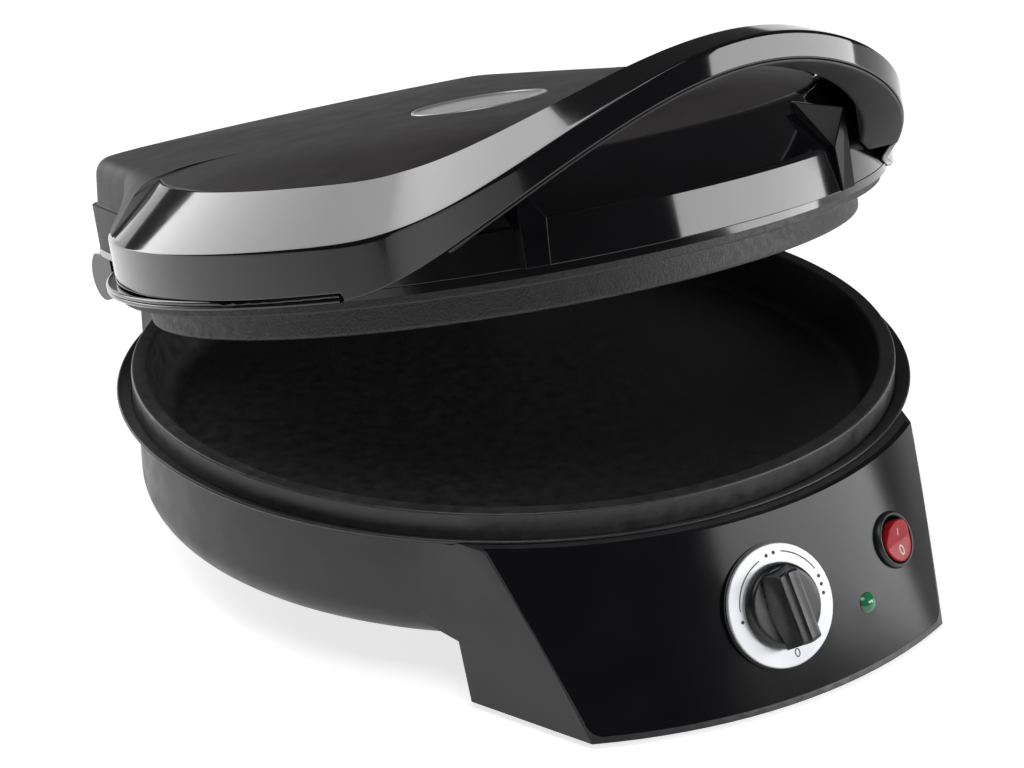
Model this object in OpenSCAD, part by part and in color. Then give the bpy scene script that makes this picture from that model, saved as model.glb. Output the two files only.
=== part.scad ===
// Electric pizza maker: a round baking dish with a control box, a hinged lid with an arched
// handle, and all that works inside. Millimetres. X runs to the right as seen from the front,
// Y to the back, Z up; the feet stand on z = 0, under the middle of the baking pan.
// Lid pieces are drawn as if the lid were shut, and lid_pose() then swings them open.

/* [Baking pan] */
// Inner width of the pan across its rim
pan_d = 326.2; // [300:0.1:340]
// Inner width of the pan across its floor
pan_floor_d = 310; // [280:1:312]
// Depth of the pan from rim to floor
pan_depth = 21.7; // [14:0.1:28]
// Wall of the cast pan
pan_wall = 2.5; // [1.5:0.1:4]
// Width of the pan's flat rim
pan_rim_w = 7.3; // [5:0.1:10]
// Height of the pan's rim above the table
pan_rim_z = 83.7; // [78:0.1:95]
// How far the pan's rim stands above its seat in the base
pan_skirt_h = 11.7; // [6:0.1:14]

/* [Base] */
// Wall of the moulded housings
wall = 3; // [2:0.1:4]
// How far the rim ring stands out beyond the pan's rim
ring_reach = 7.1; // [4:0.1:12]
// How far the ring's outer edge rises above the pan's seat
ring_rise = 3; // [1:0.1:5]
// Underside of the dish above the table
dish_z = 22; // [16:0.5:26]
// Radius of the dish's lower corner
dish_corner_r = 16; // [8:0.5:20]
// Rear feet: sideways distance from the middle
leg_x = 85; // [60:1:95]
// Rear feet: distance behind the middle
leg_y = 120; // [90:1:120]
// Radius of the rubber feet
foot_r = 9; // [6:0.5:12]
// Height of the rubber feet
foot_h = 3; // [2:0.1:6]

/* [Control box] */
// Lean of the sloping front of the control box
box_lean = 24.8; // [15:0.1:30]
// How far the top of the sloping front stands out from the rim ring
box_reach = 5.5; // [3:0.1:9]
// Width of the box at the bottom of its front
box_front_w = 179.4; // [150:0.2:200]
// Flare of the box sides towards the back
box_flare = 21.4; // [10:0.1:30]
// Thickness of the fascia
fascia_t = 2.5; // [1.5:0.1:4]
// Wall of the box behind the fascia
backing_t = 2.5; // [1.5:0.1:4]
// Margin of housing left round the fascia
fascia_margin = 1.4; // [0.8:0.1:3]
// Height of the controls' middle above the table
dial_z = 39.5; // [36:0.5:44]
// Radius of the dial ring
dial_r = 25.4; // [22:0.1:28]
// Radius of the knob
knob_r = 17.7; // [14:0.1:20]
// Height of the knob's grip above the dial
knob_h = 13; // [8:0.5:20]
// Radius of the thermostat shaft
shaft_r = 3; // [2:0.1:4]
// Angle of the rocker switch round the base, from the front
switch_a = 20.9; // [18:0.1:24]
// Height of the rocker switch
switch_z = 43; // [40:0.5:46]
// Radius of the rocker switch's bezel
bezel_r = 12.25; // [11.5:0.05:13]
// Angle of the pilot lamp round the base, from the front
lamp_a = 12.9; // [11:0.1:15]
// Height of the pilot lamp
lamp_z = 27.3; // [22:0.1:30]
// Radius of the lamp's lens
lamp_r = 4.5; // [3:0.1:5]

/* [Hinge] */
// Distance of the hinge axis behind the middle
hinge_y = 195.5; // [192:0.5:200]
// Height of the hinge axis above the table
hinge_z = 77.4; // [75:0.1:79]
// How far the lid stands open, in degrees
lid_open = 15.4; // [0:0.1:90]
// Radius of the hinge pins
pin_r = 4; // [3.2:0.1:4.5]
// Radius of the hinge knuckles on the base
knuckle_r = 9.5; // [8:0.1:9.8]
// Radius of the hinge lugs under the lid
lug_r = 12; // [10:0.5:13]
// Width of one hinge lug
lug_w = 22; // [18:0.5:26]
// Outer width across the two hinge lugs
lug_span = 220; // [200:1:230]

/* [Lid] */
// Height of the lid's band above the lid's underside
band_h = 23.5; // [18:0.5:26]
// Outer radius of the band
band_r = 176; // [174:0.5:178]
// Height of the shoulder where the dome begins
shoulder_h = 44; // [38:0.5:48]
// How far the shoulder lies inside the band
shoulder_in = 29; // [26:0.5:34]
// Height of the dome's middle above the shoulder
dome_rise = 9.5; // [3:0.5:14]
// How much higher the dome's rear edge is in its middle than the shoulder
rear_rise = 4; // [0:0.5:5]
// Distance of the lid's rear face behind the middle
lid_rear = 200; // [196:0.5:204]
// Thickness of the lid's frame
frame_t = 3.5; // [2.5:0.1:5]
// Half length of the badge
badge_a = 31; // [25:0.1:50]
// Half width of the badge
badge_b = 29; // [15:0.1:30]

/* [Handle] */
// How far the handle arch stands out beyond the band
arch_reach = 41; // [30:0.5:48]
// Angle from the front at which the arch leaves the lid
arch_a = 54; // [50:0.5:60]
// Height of the handle's lower edge at the front
arch_low = 69; // [60:0.5:75]
// Height of the handle's outer edge at the front
arch_top = 80; // [76:0.5:90]
// Height of the handle's inner edge at the front
arch_in = 82.5; // [78:0.5:92]
// Width of the grip at the front
grip_w = 19; // [14:0.5:24]
// Wall of the handle's gloss cover
cover_t = 3; // [2:0.1:4]

/* [Upper plate] */
// How far the upper plate's flange lies inside the band
plate_in = 6.5; // [5:0.5:9]
// Thickness of the upper plate's flange
plate_flange_t = 4.2; // [3:0.1:6]
// Gap between the part that dips into the pan and the pan's rim
plug_gap = 5.1; // [3:0.1:20]
// Depth of that part below the lid's underside
plug_h = 16.5; // [8:0.5:18]
// Gap between the shut lid and the pan
lid_gap = 0.3; // [0.2:0.1:1]

/* [Heating] */
// Radius of the heating rings
element_r = 100; // [80:1:120]
// Radius of the heating tube
tube_r = 3.2; // [2.5:0.1:4]
// Thickness of the reflector sheet
sheet_t = 0.8; // [0.5:0.1:1.5]
// Radius of the wires
wire_r = 1.6; // [1:0.1:1.8]

/* [Fits] */
// Running clearance on a radius, for the hinge pins and the shaft
run_fit = 0.05; // [0.02:0.01:0.1]

/* [Hidden] */
$fn = 96;
pan_r = pan_d / 2;
pan_floor_r = pan_floor_d / 2;
rim_r = pan_r + pan_rim_w;                 // outside of the pan's rim
seat_z = pan_rim_z - pan_skirt_h;          // seat of the pan's skirt in the rim ring
floor_z = pan_rim_z - pan_depth;           // baking surface
ring_r = rim_r + ring_reach;               // outside of the rim ring
ring_z = seat_z + ring_rise;               // top of the rim ring's edge
ring_t = 4.5;                              // thickness of the rim ring's edge
dish_r = rim_r - 1.9;                      // outside of the dish, under the ring
dish_in = dish_r - wall;
box_z = foot_h;                            // bottom edge of the control box
box_top = ring_z - 1.5;
box_top_r = ring_r + box_reach;            // radius of the sloping front at the ring's height
slope = tan(box_lean);
box_front_y = 195.6;                       // where the side facets start
box_rear_y = 142;                          // lower rear wall of the box
box_rear_top = 136;
box_join_y = 118;                          // how far back the box reaches along the dish
fascia_corner = 6;                         // radius of the fascia's lower corners
base_cover_t = 2.5;                        // thickness of the bottom cover
ref_z = dish_z + wall + 14;                // floor of the lower reflector
lower_tube_z = floor_z - pan_wall - tube_r;
shoulder_r = band_r - shoulder_in;         // radius of the shoulder where the dome begins
lid_z = pan_rim_z + lid_gap + plate_flange_t;   // underside of the shut lid's frame
rear_z = hinge_z - 11.4;                   // top of the rear block
block_hw = lug_span / 2 - lug_w - 3;       // half width of the rear block and its knuckles
block_y = hinge_y + 13.5;                  // rear face of the block
block_z = 34;                              // underside of the rear block
knuckle_w = 39;                            // width of one knuckle
pin_in = block_hw - knuckle_w + 10;        // inner end of a hinge pin
pin_out = lug_span / 2 - 7;                // outer end of a hinge pin
bush_r = pin_r + 2.4;
lead_bore = wire_r + 0.5;                  // bore through the hollow pin
lead_way = wire_r + 1.4;                   // hole for the lead through a lug and the frame
plate_r = band_r - plate_in;               // outer radius of the upper plate's flange
plug_r = pan_r - plug_gap;                 // outer radius of the part that dips into the pan
plate_web = 2.5;                           // thickness of the upper baking surface
plate_rim = 3.5;                           // wall of the upper plate
recess = 3.5;                              // how deep the upper baking surface lies
upper_tube_h = -plug_h + recess + plate_web + tube_r;
frame_in = shoulder_r - 29;                // inner radius of the lid's frame
frame_r = band_r - 2;                      // outer radius of the lid's frame
skin = 2.5;                                // wall of the lid's dome
bevel_end = 107;                           // angle at which the bevel stops beside the dome
band_end = 130;                            // angle at which the band runs into the rear block
gland_r = 3.6;                             // bore for a 7 mm mains lead
gland_x = 30;
gland_z = 50;
lead_x = 44;                               // where the mains leads enter the control box
lead_z = dish_z + wall + 6;
screw_r = 2;
head_r = 3.6;
off_tilt = 8;                              // tilt of the rocker in its off position
knob_turn = 172;                           // the knob points at the zero mark, from the top
panel_hw = 80;                             // half width of the lid's front panel

// ---------- shared shapes ----------

// Radius of the sloping front at height z
function front_r(z) = box_top_r + slope * (ring_z - z);

// A point on a circle: angle a from the front towards +X
function polar(r, a, z) = [r * sin(a), -r * cos(a), z];

// A value that is 1 at the front and falls to 0 where the arch leaves the lid
function bump(a) = abs(a) >= arch_a ? 0 : (1 + cos(180 * a / arch_a)) / 2;

// A step that rises smoothly from 0 at a to 1 at b
function rise(v, a, b) = let(t = max(0, min(1, (v - a) / (b - a)))) t * t * (3 - 2 * t);

module ring(r_out, r_in, z0, z1) {
    rotate_extrude() translate([r_in, z0]) square([r_out - r_in, z1 - z0]);
}

module disc(r, z0, z1) {
    translate([0, 0, z0]) cylinder(r = r, h = z1 - z0);
}

// A rod from point a to point b
module rod(a, b, r) {
    d = b - a;
    translate(a)
        rotate([0, acos(d[2] / norm(d)), atan2(d[1], d[0])])
            cylinder(r = r, h = norm(d), $fn = 32);
}

// A wire through a list of points, with round bends
module wire(points, r) {
    for (i = [0 : len(points) - 2]) rod(points[i], points[i + 1], r);
    for (i = [1 : len(points) - 2]) translate(points[i]) sphere(r = r + 0.2, $fn = 32);
}

module mirrored() {
    children();
    mirror([1, 0, 0]) children();
}

// Children stand on the sloping front: z outwards, y up along the slope
module on_front(a, z) {
    rotate([0, 0, a]) translate([0, -front_r(z), z]) rotate([90 - box_lean, 0, 0]) children();
}

// Swings the lid's pieces open about the hinge
module lid_pose() {
    translate([0, hinge_y, hinge_z]) rotate([-lid_open, 0, 0]) translate([0, -hinge_y, -hinge_z])
        children();
}

// Lid heights are measured from the lid's underside
module at_lid() {
    lid_pose() translate([0, 0, lid_z]) children();
}

// Closed bar through a row of sections. Each section lists its outer points and then its
// inner points back again, so the end caps are strips between the two.
module bar(sections) {
    n = len(sections);
    m = len(sections[0]);
    sides = [for (i = [0 : n - 2], j = [0 : m - 1]) each
        let(a = i * m + j, b = i * m + (j + 1) % m, c = b + m, d = a + m) [[a, b, c], [a, c, d]]];
    first = [for (j = [0 : m / 2 - 2]) each
        let(a = j, b = j + 1, c = m - 2 - j, d = m - 1 - j) [[a, c, b], [a, d, c]]];
    last = [for (j = [0 : m / 2 - 2]) each let(o = (n - 1) * m,
        a = o + j, b = o + j + 1, c = o + m - 2 - j, d = o + m - 1 - j) [[a, b, c], [a, c, d]]];
    polyhedron([for (s = sections) each s], concat(sides, first, last));
}

// ---------- base ----------

module dish_outline(r, z0, z1, c) {
    translate([0, z0]) square([r - c, z1 - z0]);
    translate([0, z0 + c]) square([r, z1 - z0 - c]);
    translate([r - c, z0 + c]) circle(r = c);
}

module dish_solid() {
    rotate_extrude() dish_outline(dish_r, dish_z, ring_z - ring_t, dish_corner_r);
}

module dish_room() {
    rotate_extrude()
        dish_outline(dish_in, dish_z + wall, ring_z + 1, dish_corner_r - wall);
}

// The control box, drawn in by a margin all round
module box_form(inset, z0, z1) {
    lean_in = inset / cos(box_lean);
    side_in = inset / cos(box_flare);
    k = tan(box_flare);
    hw = box_front_w / 2 - side_in;
    far = 240;
    intersection() {
        rotate_extrude() polygon([[0, z0], [front_r(z0) - lean_in, z0],
            [front_r(z1) - lean_in, z1], [0, z1]]);
        translate([0, 0, z0]) linear_extrude(z1 - z0) polygon([
            [-hw + k * (far - box_front_y), -far], [hw - k * (far - box_front_y), -far],
            [hw + k * (box_front_y - box_join_y), -box_join_y],
            [-hw - k * (box_front_y - box_join_y), -box_join_y]]);
        rotate([90, 0, 90]) translate([0, 0, -far / 2]) linear_extrude(far) polygon([
            [-far, 0], [-box_rear_y - inset, 0], [-box_rear_top - inset, dish_z + 7],
            [-box_join_y, dish_z + 11], [-box_join_y, ring_z + 5], [-far, ring_z + 5]]);
    }
}

// Outline of the fascia as seen from straight in front
module fascia_outline(grow) {
    z0 = box_z + fascia_margin + 1 - grow;
    z1 = box_top + grow;
    function half(z) = edge_x(z) - fascia_margin + grow;
    c = fascia_corner;
    polygon([[-half(z0 + c), z0 + c], [-half(z0) + c, z0], [half(z0) - c, z0],
        [half(z0 + c), z0 + c], [half(z1), z1], [-half(z1), z1]]);
    for (s = [-1, 1]) translate([s * (half(z0 + c) - c), z0 + c]) circle(r = c, $fn = 32);
}

// Half width of the sloping front at height z: where the side facet x = b + k y cuts the cone
function edge_x(z) = let(
    k = tan(box_flare), b = box_front_w / 2 + k * box_front_y, q = 1 + k * k,
    r = front_r(z), y = (-k * b - sqrt(k * k * b * b - q * (b * b - r * r))) / q) b + k * y;

module rear_block() {
    h = rear_z - block_z;
    translate([-block_hw, dish_in - 15, block_z])
        cube([2 * block_hw, block_y - dish_in + 15, h]);
    mirrored() translate([block_hw - knuckle_w, 0, 0]) {
        translate([0, hinge_y, hinge_z]) rotate([0, 90, 0]) cylinder(r = knuckle_r, h = knuckle_w);
        translate([0, hinge_y - knuckle_r, rear_z - 2])
            cube([knuckle_w, 2 * knuckle_r, hinge_z - rear_z + 2]);
    }
}

module rear_room() {
    translate([-block_hw + wall, dish_in - 18, block_z + wall])
        cube([2 * (block_hw - wall), block_y - dish_in + 18 - wall, rear_z - block_z - 2 * wall]);
}

module legs() {
    for (s = [-1, 1]) translate([s * leg_x, leg_y, 0]) disc(foot_r + 3, box_z, dish_z + 2);
}

boss_at = [[box_front_w / 2 + 6.3, -150], [box_front_w / 2 - 5.7, -182]];

module cover_bosses() {
    intersection() {
        mirrored() for (p = boss_at) translate([p[0], p[1], 0])
            disc(5, box_z + base_cover_t, dish_z + 12);
        box_form(0.5, box_z, box_top);
    }
}

pan_screw_r = 0.4 * pan_floor_r;
pan_screw_a = [0, 120, 240];

module base_housing() {
    color([0.11, 0.11, 0.12])
        difference() {
            union() {
                difference() {
                    union() {
                        dish_solid();
                        box_form(0, box_z, box_top);
                        rear_block();
                        legs();
                    }
                    dish_room();
                    difference() {
                        box_form(fascia_t + backing_t, box_z - 1, box_top - wall);
                        dish_solid();
                    }
                    rear_room();
                    for (s = [-1, 1]) translate([s * leg_x, leg_y, 0])
                        disc(foot_r, box_z - 1, dish_z - wall);
                }
                cover_bosses();
                for (a = pan_screw_a) translate(polar(pan_screw_r, a, 0))
                    disc(5, dish_z + 1, ref_z);
            }
            fascia_recess();
            panel_holes();
            ring_seat();
            // wire ways from the dish into the control box and up into the knuckle
            for (s = [-1, 1]) translate([s * lower_leg_x(), -dish_in + 10, lower_tube_z])
                rotate([90, 0, 0]) cylinder(r = tube_r + 1, h = 20);
            translate([lead_x, -dish_in + 18, lead_z]) rotate([90, 0, 0])
                cylinder(r = 6.5, h = 40);
            translate([block_hw - knuckle_w + 7, hinge_y, rear_z - 2 * wall])
                cylinder(r = lead_bore, h = hinge_z - rear_z + 2 * wall + lead_bore + 0.3, $fn = 32);
            for (s = [-1, 1]) translate([s * (block_hw - knuckle_w + 7), hinge_y, hinge_z])
                rotate([0, s * 90, 0]) cylinder(r = lead_bore, h = 10, $fn = 32);
            mirrored() translate([pin_in - 2, hinge_y, hinge_z]) rotate([0, 90, 0])
                cylinder(r = pin_r + 0.02, h = 60);
            translate([gland_x, block_y - 10, gland_z]) rotate([-90, 0, 0])
                cylinder(r = gland_r + 2.4, h = 20);
            for (a = pan_screw_a) translate(polar(pan_screw_r, a, 0)) {
                disc(screw_r + 0.1, 0, ref_z + 1);
                disc(head_r + 0.4, dish_z - 1, dish_z + 2);
            }
            mirrored() for (p = boss_at) translate([p[0], p[1], 0])
                disc(screw_r, 0, dish_z + 6);
        }
}

// Room in the control box for the rim ring and the pan's skirt
module ring_seat() {
    z = ring_z - ring_t;
    rotate_extrude() polygon([[0, z], [dish_r + 1.2, z], [ring_r - 1.8, z + 1.4],
        [ring_r + 0.2, z + 3.4], [ring_r + 0.2, z + 9], [0, z + 9]]);
}

function lower_leg_x() = element_r * sin(20);

module fascia_recess() {
    intersection() {
        difference() {
            rotate_extrude() polygon(band_points(5, 0));
            rotate_extrude() polygon(core_points(fascia_t));
        }
        rotate([90, 0, 0]) linear_extrude(260) fascia_outline(0.15);
    }
}

// Half section of the sloping front, grown outwards
function band_points(grow, z0) = [[0, z0], [front_r(z0) + grow, z0],
    [front_r(ring_z) + grow, ring_z], [0, ring_z]];
// The same, set back square to the slope
function core_points(depth) = let(d = depth / cos(box_lean)) [[0, -1], [front_r(-1) - d, -1],
    [front_r(ring_z + 1) - d, ring_z + 1], [0, ring_z + 1]];

module panel_holes() {
    on_front(0, dial_z) translate([0, 0, -20]) cylinder(r = shaft_r + 0.8, h = 30);
    on_front(switch_a, switch_z) translate([0, 0, -20]) cylinder(r = bezel_r - 1.5, h = 30);
    on_front(lamp_a, lamp_z) translate([0, 0, -20]) cylinder(r = lamp_r - 0.3, h = 30);
}

module fascia() {
    seat_r = dial_r + 0.9;
    color([0.02, 0.02, 0.025])
        difference() {
            union() {
                intersection() {
                    difference() {
                        rotate_extrude() polygon(band_points(0, 0));
                        rotate_extrude() polygon(core_points(fascia_t));
                    }
                    rotate([90, 0, 0]) linear_extrude(260) fascia_outline(0);
                }
                on_front(0, dial_z) translate([0, 0, -fascia_t + 0.4])
                    cylinder(r = seat_r, h = fascia_t + 0.2);
            }
            panel_holes();
            on_front(switch_a, switch_z) translate([0, 0, -0.6]) cylinder(r = bezel_r, h = 5);
        }
}

module rim_ring() {
    color([0.12, 0.12, 0.13]) {
        rotate_extrude() polygon([
            [dish_in - 2.4, seat_z - 6], [dish_in - 0.2, seat_z - 6],
            [dish_in - 0.2, ring_z - ring_t], [dish_r + 1, ring_z - ring_t],
            [ring_r - 2, ring_z - ring_t + 1.5], [ring_r, ring_z - ring_t + 3.5],
            [ring_r, ring_z - 0.8], [ring_r - 0.8, ring_z],
            [rim_r + 0.6, seat_z + 0.5], [rim_r + 0.3, seat_z],
            [dish_in - 2.4, seat_z]]);
        // small tabs that carry the ring to the top corners of the fascia
        for (s = [-1, 1]) rotate([0, 0, s * 38]) translate([-9, -box_top_r + 0.6, box_top])
            cube([18, box_reach + 4, ring_z - box_top]);
    }
}

module baking_pan() {
    color([0.13, 0.13, 0.13])
        difference() {
            union() {
                rotate_extrude() polygon([
                    [0, floor_z - pan_wall], [pan_floor_r + 1, floor_z - pan_wall],
                    [pan_floor_r + pan_wall, floor_z - pan_wall + 1.5],
                    [pan_r + pan_wall, pan_rim_z - pan_wall],
                    [rim_r - 2, pan_rim_z - pan_wall], [rim_r - 2, seat_z], [rim_r, seat_z],
                    [rim_r, pan_rim_z - 1], [rim_r - 1, pan_rim_z], [pan_r, pan_rim_z],
                    [pan_floor_r, floor_z + 2], [pan_floor_r - 2, floor_z], [0, floor_z]]);
                for (a = pan_screw_a) translate(polar(pan_screw_r, a, 0))
                    disc(6, floor_z - pan_wall - 8, floor_z - 1);
            }
            for (a = pan_screw_a) translate(polar(pan_screw_r, a, 0))
                disc(screw_r, floor_z - pan_wall - 9, floor_z - pan_wall);
        }
}

module pan_spacers() {
    color([0.6, 0.6, 0.62])
        for (a = pan_screw_a) translate(polar(pan_screw_r, a, 0))
            ring(5, screw_r + 0.1, ref_z + sheet_t, floor_z - pan_wall - 8);
}

module pan_screws() {
    color([0.7, 0.7, 0.72])
        for (a = pan_screw_a) translate(polar(pan_screw_r, a, 0)) {
            disc(screw_r, dish_z + 1, floor_z - pan_wall - 1);
            disc(head_r, dish_z - 0.5, dish_z + 2);
        }
}

module lower_reflector() {
    r1 = 140;
    color([0.75, 0.75, 0.77])
        difference() {
            rotate_extrude() polygon([[0, ref_z], [r1, ref_z], [dish_in - 4.5, seat_z - 14],
                [dish_in - 4.5, seat_z - 8], [dish_in - 4.5 - sheet_t, seat_z - 8],
                [dish_in - 4.5 - sheet_t, seat_z - 14], [r1 - 0.5, ref_z + sheet_t],
                [0, ref_z + sheet_t]]);
            for (a = pan_screw_a) translate(polar(pan_screw_r, a, 0))
                disc(screw_r + 0.1, ref_z - 1, ref_z + 2);
            for (s = [-1, 1]) translate([s * lower_leg_x(), -120, lower_tube_z])
                rotate([90, 0, 0]) cylinder(r = tube_r + 1, h = 50);
        }
}

// A heating ring open towards the front, with two legs that run on past it
module heater(leg_end) {
    a = 20;
    rotate([0, 0, -90 + a]) rotate_extrude(angle = 360 - 2 * a)
        translate([element_r, 0]) circle(r = tube_r, $fn = 32);
    for (s = [-1, 1]) {
        x = s * element_r * sin(a);
        y = -element_r * cos(a);
        translate([x, y, 0]) sphere(r = tube_r + 0.3, $fn = 32);
        translate([x, y, 0]) rotate([90, 0, 0]) cylinder(r = tube_r, h = leg_end + y, $fn = 32);
        translate([x, -leg_end, 0]) rotate([90, 0, 0]) cylinder(r = tube_r / 2, h = 8, $fn = 24);
    }
}

module lower_element() {
    color([0.35, 0.33, 0.32]) translate([0, 0, lower_tube_z]) heater(dish_r + 6);
}

// Straps that hold a heating ring against the face above or below it
module straps(up) {
    flat = tube_r - 0.2;
    bore = tube_r + 0.08;
    for (a = [60, 180, 300]) rotate([0, 0, a]) translate([0, -element_r, 0])
        rotate([90, 0, 90]) translate([0, 0, -4]) linear_extrude(8) difference() {
            union() {
                circle(r = bore + sheet_t, $fn = 48);
                translate([-tube_r - 7, up > 0 ? flat - sheet_t : -flat])
                    square([2 * tube_r + 14, sheet_t]);
            }
            circle(r = bore, $fn = 48);
            translate([-20, up > 0 ? flat : -20 - flat]) square([40, 20]);
        }
}

module element_clips() {
    color([0.7, 0.7, 0.7]) translate([0, 0, lower_tube_z]) straps(1);
}

module thermal_fuse() {
    color([0.85, 0.85, 0.83]) {
        translate([-30, -20, floor_z - pan_wall - 5]) rotate([0, 90, 0])
            cylinder(r = 5, h = 26, $fn = 32);
        translate([-36, -20, floor_z - pan_wall - 5]) rotate([0, 90, 0])
            cylinder(r = 1, h = 38, $fn = 24);
    }
}

module dial_ring() {
    color([0.82, 0.82, 0.84])
        on_front(0, dial_z)
            rotate_extrude() polygon([[knob_r - 3, 0.6], [dial_r, 0.6], [dial_r, 1.4],
                [dial_r - 0.8, 2.1], [knob_r - 3, 2.1]]);
}

module thermostat() {
    back = fascia_t + backing_t;
    color([0.72, 0.7, 0.62])
        on_front(0, dial_z) difference() {
            union() {
                translate([0, 0, -back - 2.1]) linear_extrude(1.2)
                    square([34, 16], center = true);
                translate([0, 0, -back - 4]) cylinder(r = 6, h = 3.8);
                translate([0, 0, -back - 19]) cylinder(r = 13.5, h = 15);
                for (x = [-8, 8]) translate([x - 3, -16.5, -back - 16]) cube([6, 5, 0.8]);
            }
            translate([0, 0, -back - 16]) cylinder(r = shaft_r + run_fit, h = 30);
        }
}

module thermostat_shaft() {
    back = fascia_t + backing_t;
    color([0.78, 0.78, 0.8])
        on_front(0, dial_z) translate([0, 0, -back - 15.7])
            cylinder(r = shaft_r, h = back + 15.7 + 2.4 + 8);
}

module control_knob() {
    base = 2.4;
    color([0.03, 0.03, 0.035])
        on_front(0, dial_z) rotate([0, 0, -knob_turn]) difference() {
            union() {
                rotate_extrude() polygon([[0, base], [knob_r, base], [knob_r, base + 1.5],
                    [knob_r - 0.8, base + 3.5], [knob_r - 2, base + 4.2], [0, base + 4.2]]);
                intersection() {
                    cylinder(r = knob_r - 0.9, h = 40);
                    rotate([90, 0, 0]) translate([0, 0, -20]) linear_extrude(40) polygon([
                        [-6.4, base + 3], [6.4, base + 3], [4.6, base + knob_h - 1],
                        [3.8, base + knob_h], [-3.8, base + knob_h], [-4.6, base + knob_h - 1]]);
                }
            }
            translate([0, 0, base - 3]) cylinder(r = shaft_r + 0.02, h = 11);
        }
}

module switch_body() {
    color([0.03, 0.03, 0.03])
        on_front(switch_a, switch_z) {
            difference() {
                union() {
                    rotate_extrude() polygon([[0, -0.6], [bezel_r - 0.1, -0.6],
                        [bezel_r - 0.1, 1.2], [bezel_r - 1, 2.2], [0, 2.2]]);
                    translate([0, 0, -18]) cylinder(r = bezel_r - 1.6, h = 18);
                    for (y = [-5, 0, 5]) translate([-3, y - 0.4, -24]) cube([6, 0.8, 7]);
                }
                translate([0, 0, -9]) cylinder(r = bezel_r - 2.45, h = 20);
                translate([-bezel_r, 0, -2]) rotate([0, 90, 0])
                    cylinder(r = 1 + run_fit, h = 2 * bezel_r, $fn = 32);
            }
        }
}

module switch_rocker() {
    r = bezel_r - 2.85;
    color([0.7, 0.05, 0.06])
        on_front(switch_a, switch_z) translate([0, 0, -2]) rotate([off_tilt, 0, 0]) {
            intersection() {
                translate([0, 0, -4]) cylinder(r = r - 0.5, h = 12);
                rotate([90, 0, 90]) translate([0, 0, -12]) linear_extrude(24) polygon([
                    [-r + 1.6, -1], [-3, -4], [3, -4], [r - 1.6, -1], [r - 0.9, 5.6],
                    [r - 2.2, 6.1], [0, 4.6], [-r + 2.2, 6.1], [-r + 0.9, 5.6]]);
            }
            translate([-r - 0.8, 0, 0]) rotate([0, 90, 0])
                cylinder(r = 1, h = 2 * r + 1.6, $fn = 32);
        }
}

module lamp_lens() {
    color([0.1, 0.6, 0.25])
        on_front(lamp_a, lamp_z) {
            intersection() {
                translate([0, 0, -2.6]) sphere(r = lamp_r + 0.7, $fn = 48);
                cylinder(r = lamp_r, h = 6);
            }
            translate([0, 0, -6]) cylinder(r = lamp_r - 0.5, h = 6.5);
        }
}

module lamp_holder() {
    color([0.85, 0.85, 0.82])
        on_front(lamp_a, lamp_z) {
            translate([0, 0, -16]) cylinder(r = lamp_r - 0.8, h = 10);
            for (x = [-1.2, 1.2]) translate([x, 0, -20]) cylinder(r = 0.6, h = 5, $fn = 24);
        }
}

module terminal_block() {
    color([0.9, 0.9, 0.86])
        translate([-66, -168, box_z + base_cover_t]) difference() {
            cube([24, 14, 11]);
            for (i = [0 : 2]) translate([4 + 8 * i, -1, 4.5]) rotate([-90, 0, 0])
                cylinder(r = 1.8, h = 16, $fn = 24);
        }
}

module base_wiring() {
    low = dish_z + wall + wire_r + 0.6;
    pipe_x = block_hw - knuckle_w + 7;
    color([0.75, 0.3, 0.2]) {
        // mains leads from the gland, under the reflector, to the control box
        for (i = [-2, 2]) translate([i, 0, 0])
            wire([[gland_x, block_y - wall - 10, gland_z], [gland_x, leg_y + 10, low + 1.5],
                [pan_screw_r + 11, 40, low], [lead_x, -dish_r - 6, lead_z]], wire_r);
        // lead for the lid, up through the knuckle and into the hollow pin
        wire([[90, 20, low], [pipe_x + 2, leg_y + 10, low], [pipe_x, hinge_y, rear_z - 8],
            [pipe_x, hinge_y, hinge_z], [pin_out - 8, hinge_y, hinge_z]], wire_r);
    }
}

module bottom_cover() {
    color([0.09, 0.09, 0.09])
        difference() {
            box_form(fascia_t + backing_t + 0.2, box_z, box_z + base_cover_t);
            mirrored() for (p = boss_at) translate([p[0], p[1], 0])
                disc(screw_r + 0.2, 0, box_z + base_cover_t + 1);
            for (s = [-1, 1]) translate([s * front_foot_x, -front_foot_y, 0])
                disc(2.5, 0, box_z + base_cover_t + 1);
        }
}

front_foot_x = box_front_w / 2 - 21.7;
front_foot_y = 172;

module cover_screws() {
    color([0.7, 0.7, 0.72])
        mirrored() for (p = boss_at) translate([p[0], p[1], 0]) {
            disc(screw_r - 0.02, box_z - 0.5, dish_z + 4);
            disc(head_r, box_z - 1.6, box_z);
        }
}

module rubber_feet() {
    color([0.06, 0.06, 0.06]) {
        for (s = [-1, 1]) translate([s * front_foot_x, -front_foot_y, 0]) {
            disc(foot_r, 0, foot_h);
            disc(2.4, foot_h - 0.5, foot_h + base_cover_t - 0.2);
        }
        for (s = [-1, 1]) translate([s * leg_x, leg_y, 0]) {
            disc(foot_r, 0, foot_h);
            disc(foot_r - 0.1, foot_h - 0.5, foot_h + 3);
        }
    }
}

module cord_gland() {
    color([0.05, 0.05, 0.05])
        translate([gland_x, block_y, gland_z]) rotate([-90, 0, 0]) difference() {
            union() {
                translate([0, 0, -wall - 3]) cylinder(r = gland_r + 4.5, h = 3);
                translate([0, 0, -wall - 1]) cylinder(r = gland_r + 2.35, h = wall + 2);
                cylinder(r1 = gland_r + 4.5, r2 = gland_r + 3, h = 6.5);
            }
            translate([0, 0, -wall - 5]) cylinder(r = gland_r, h = 20);
        }
}

// ---------- hinge ----------

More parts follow.
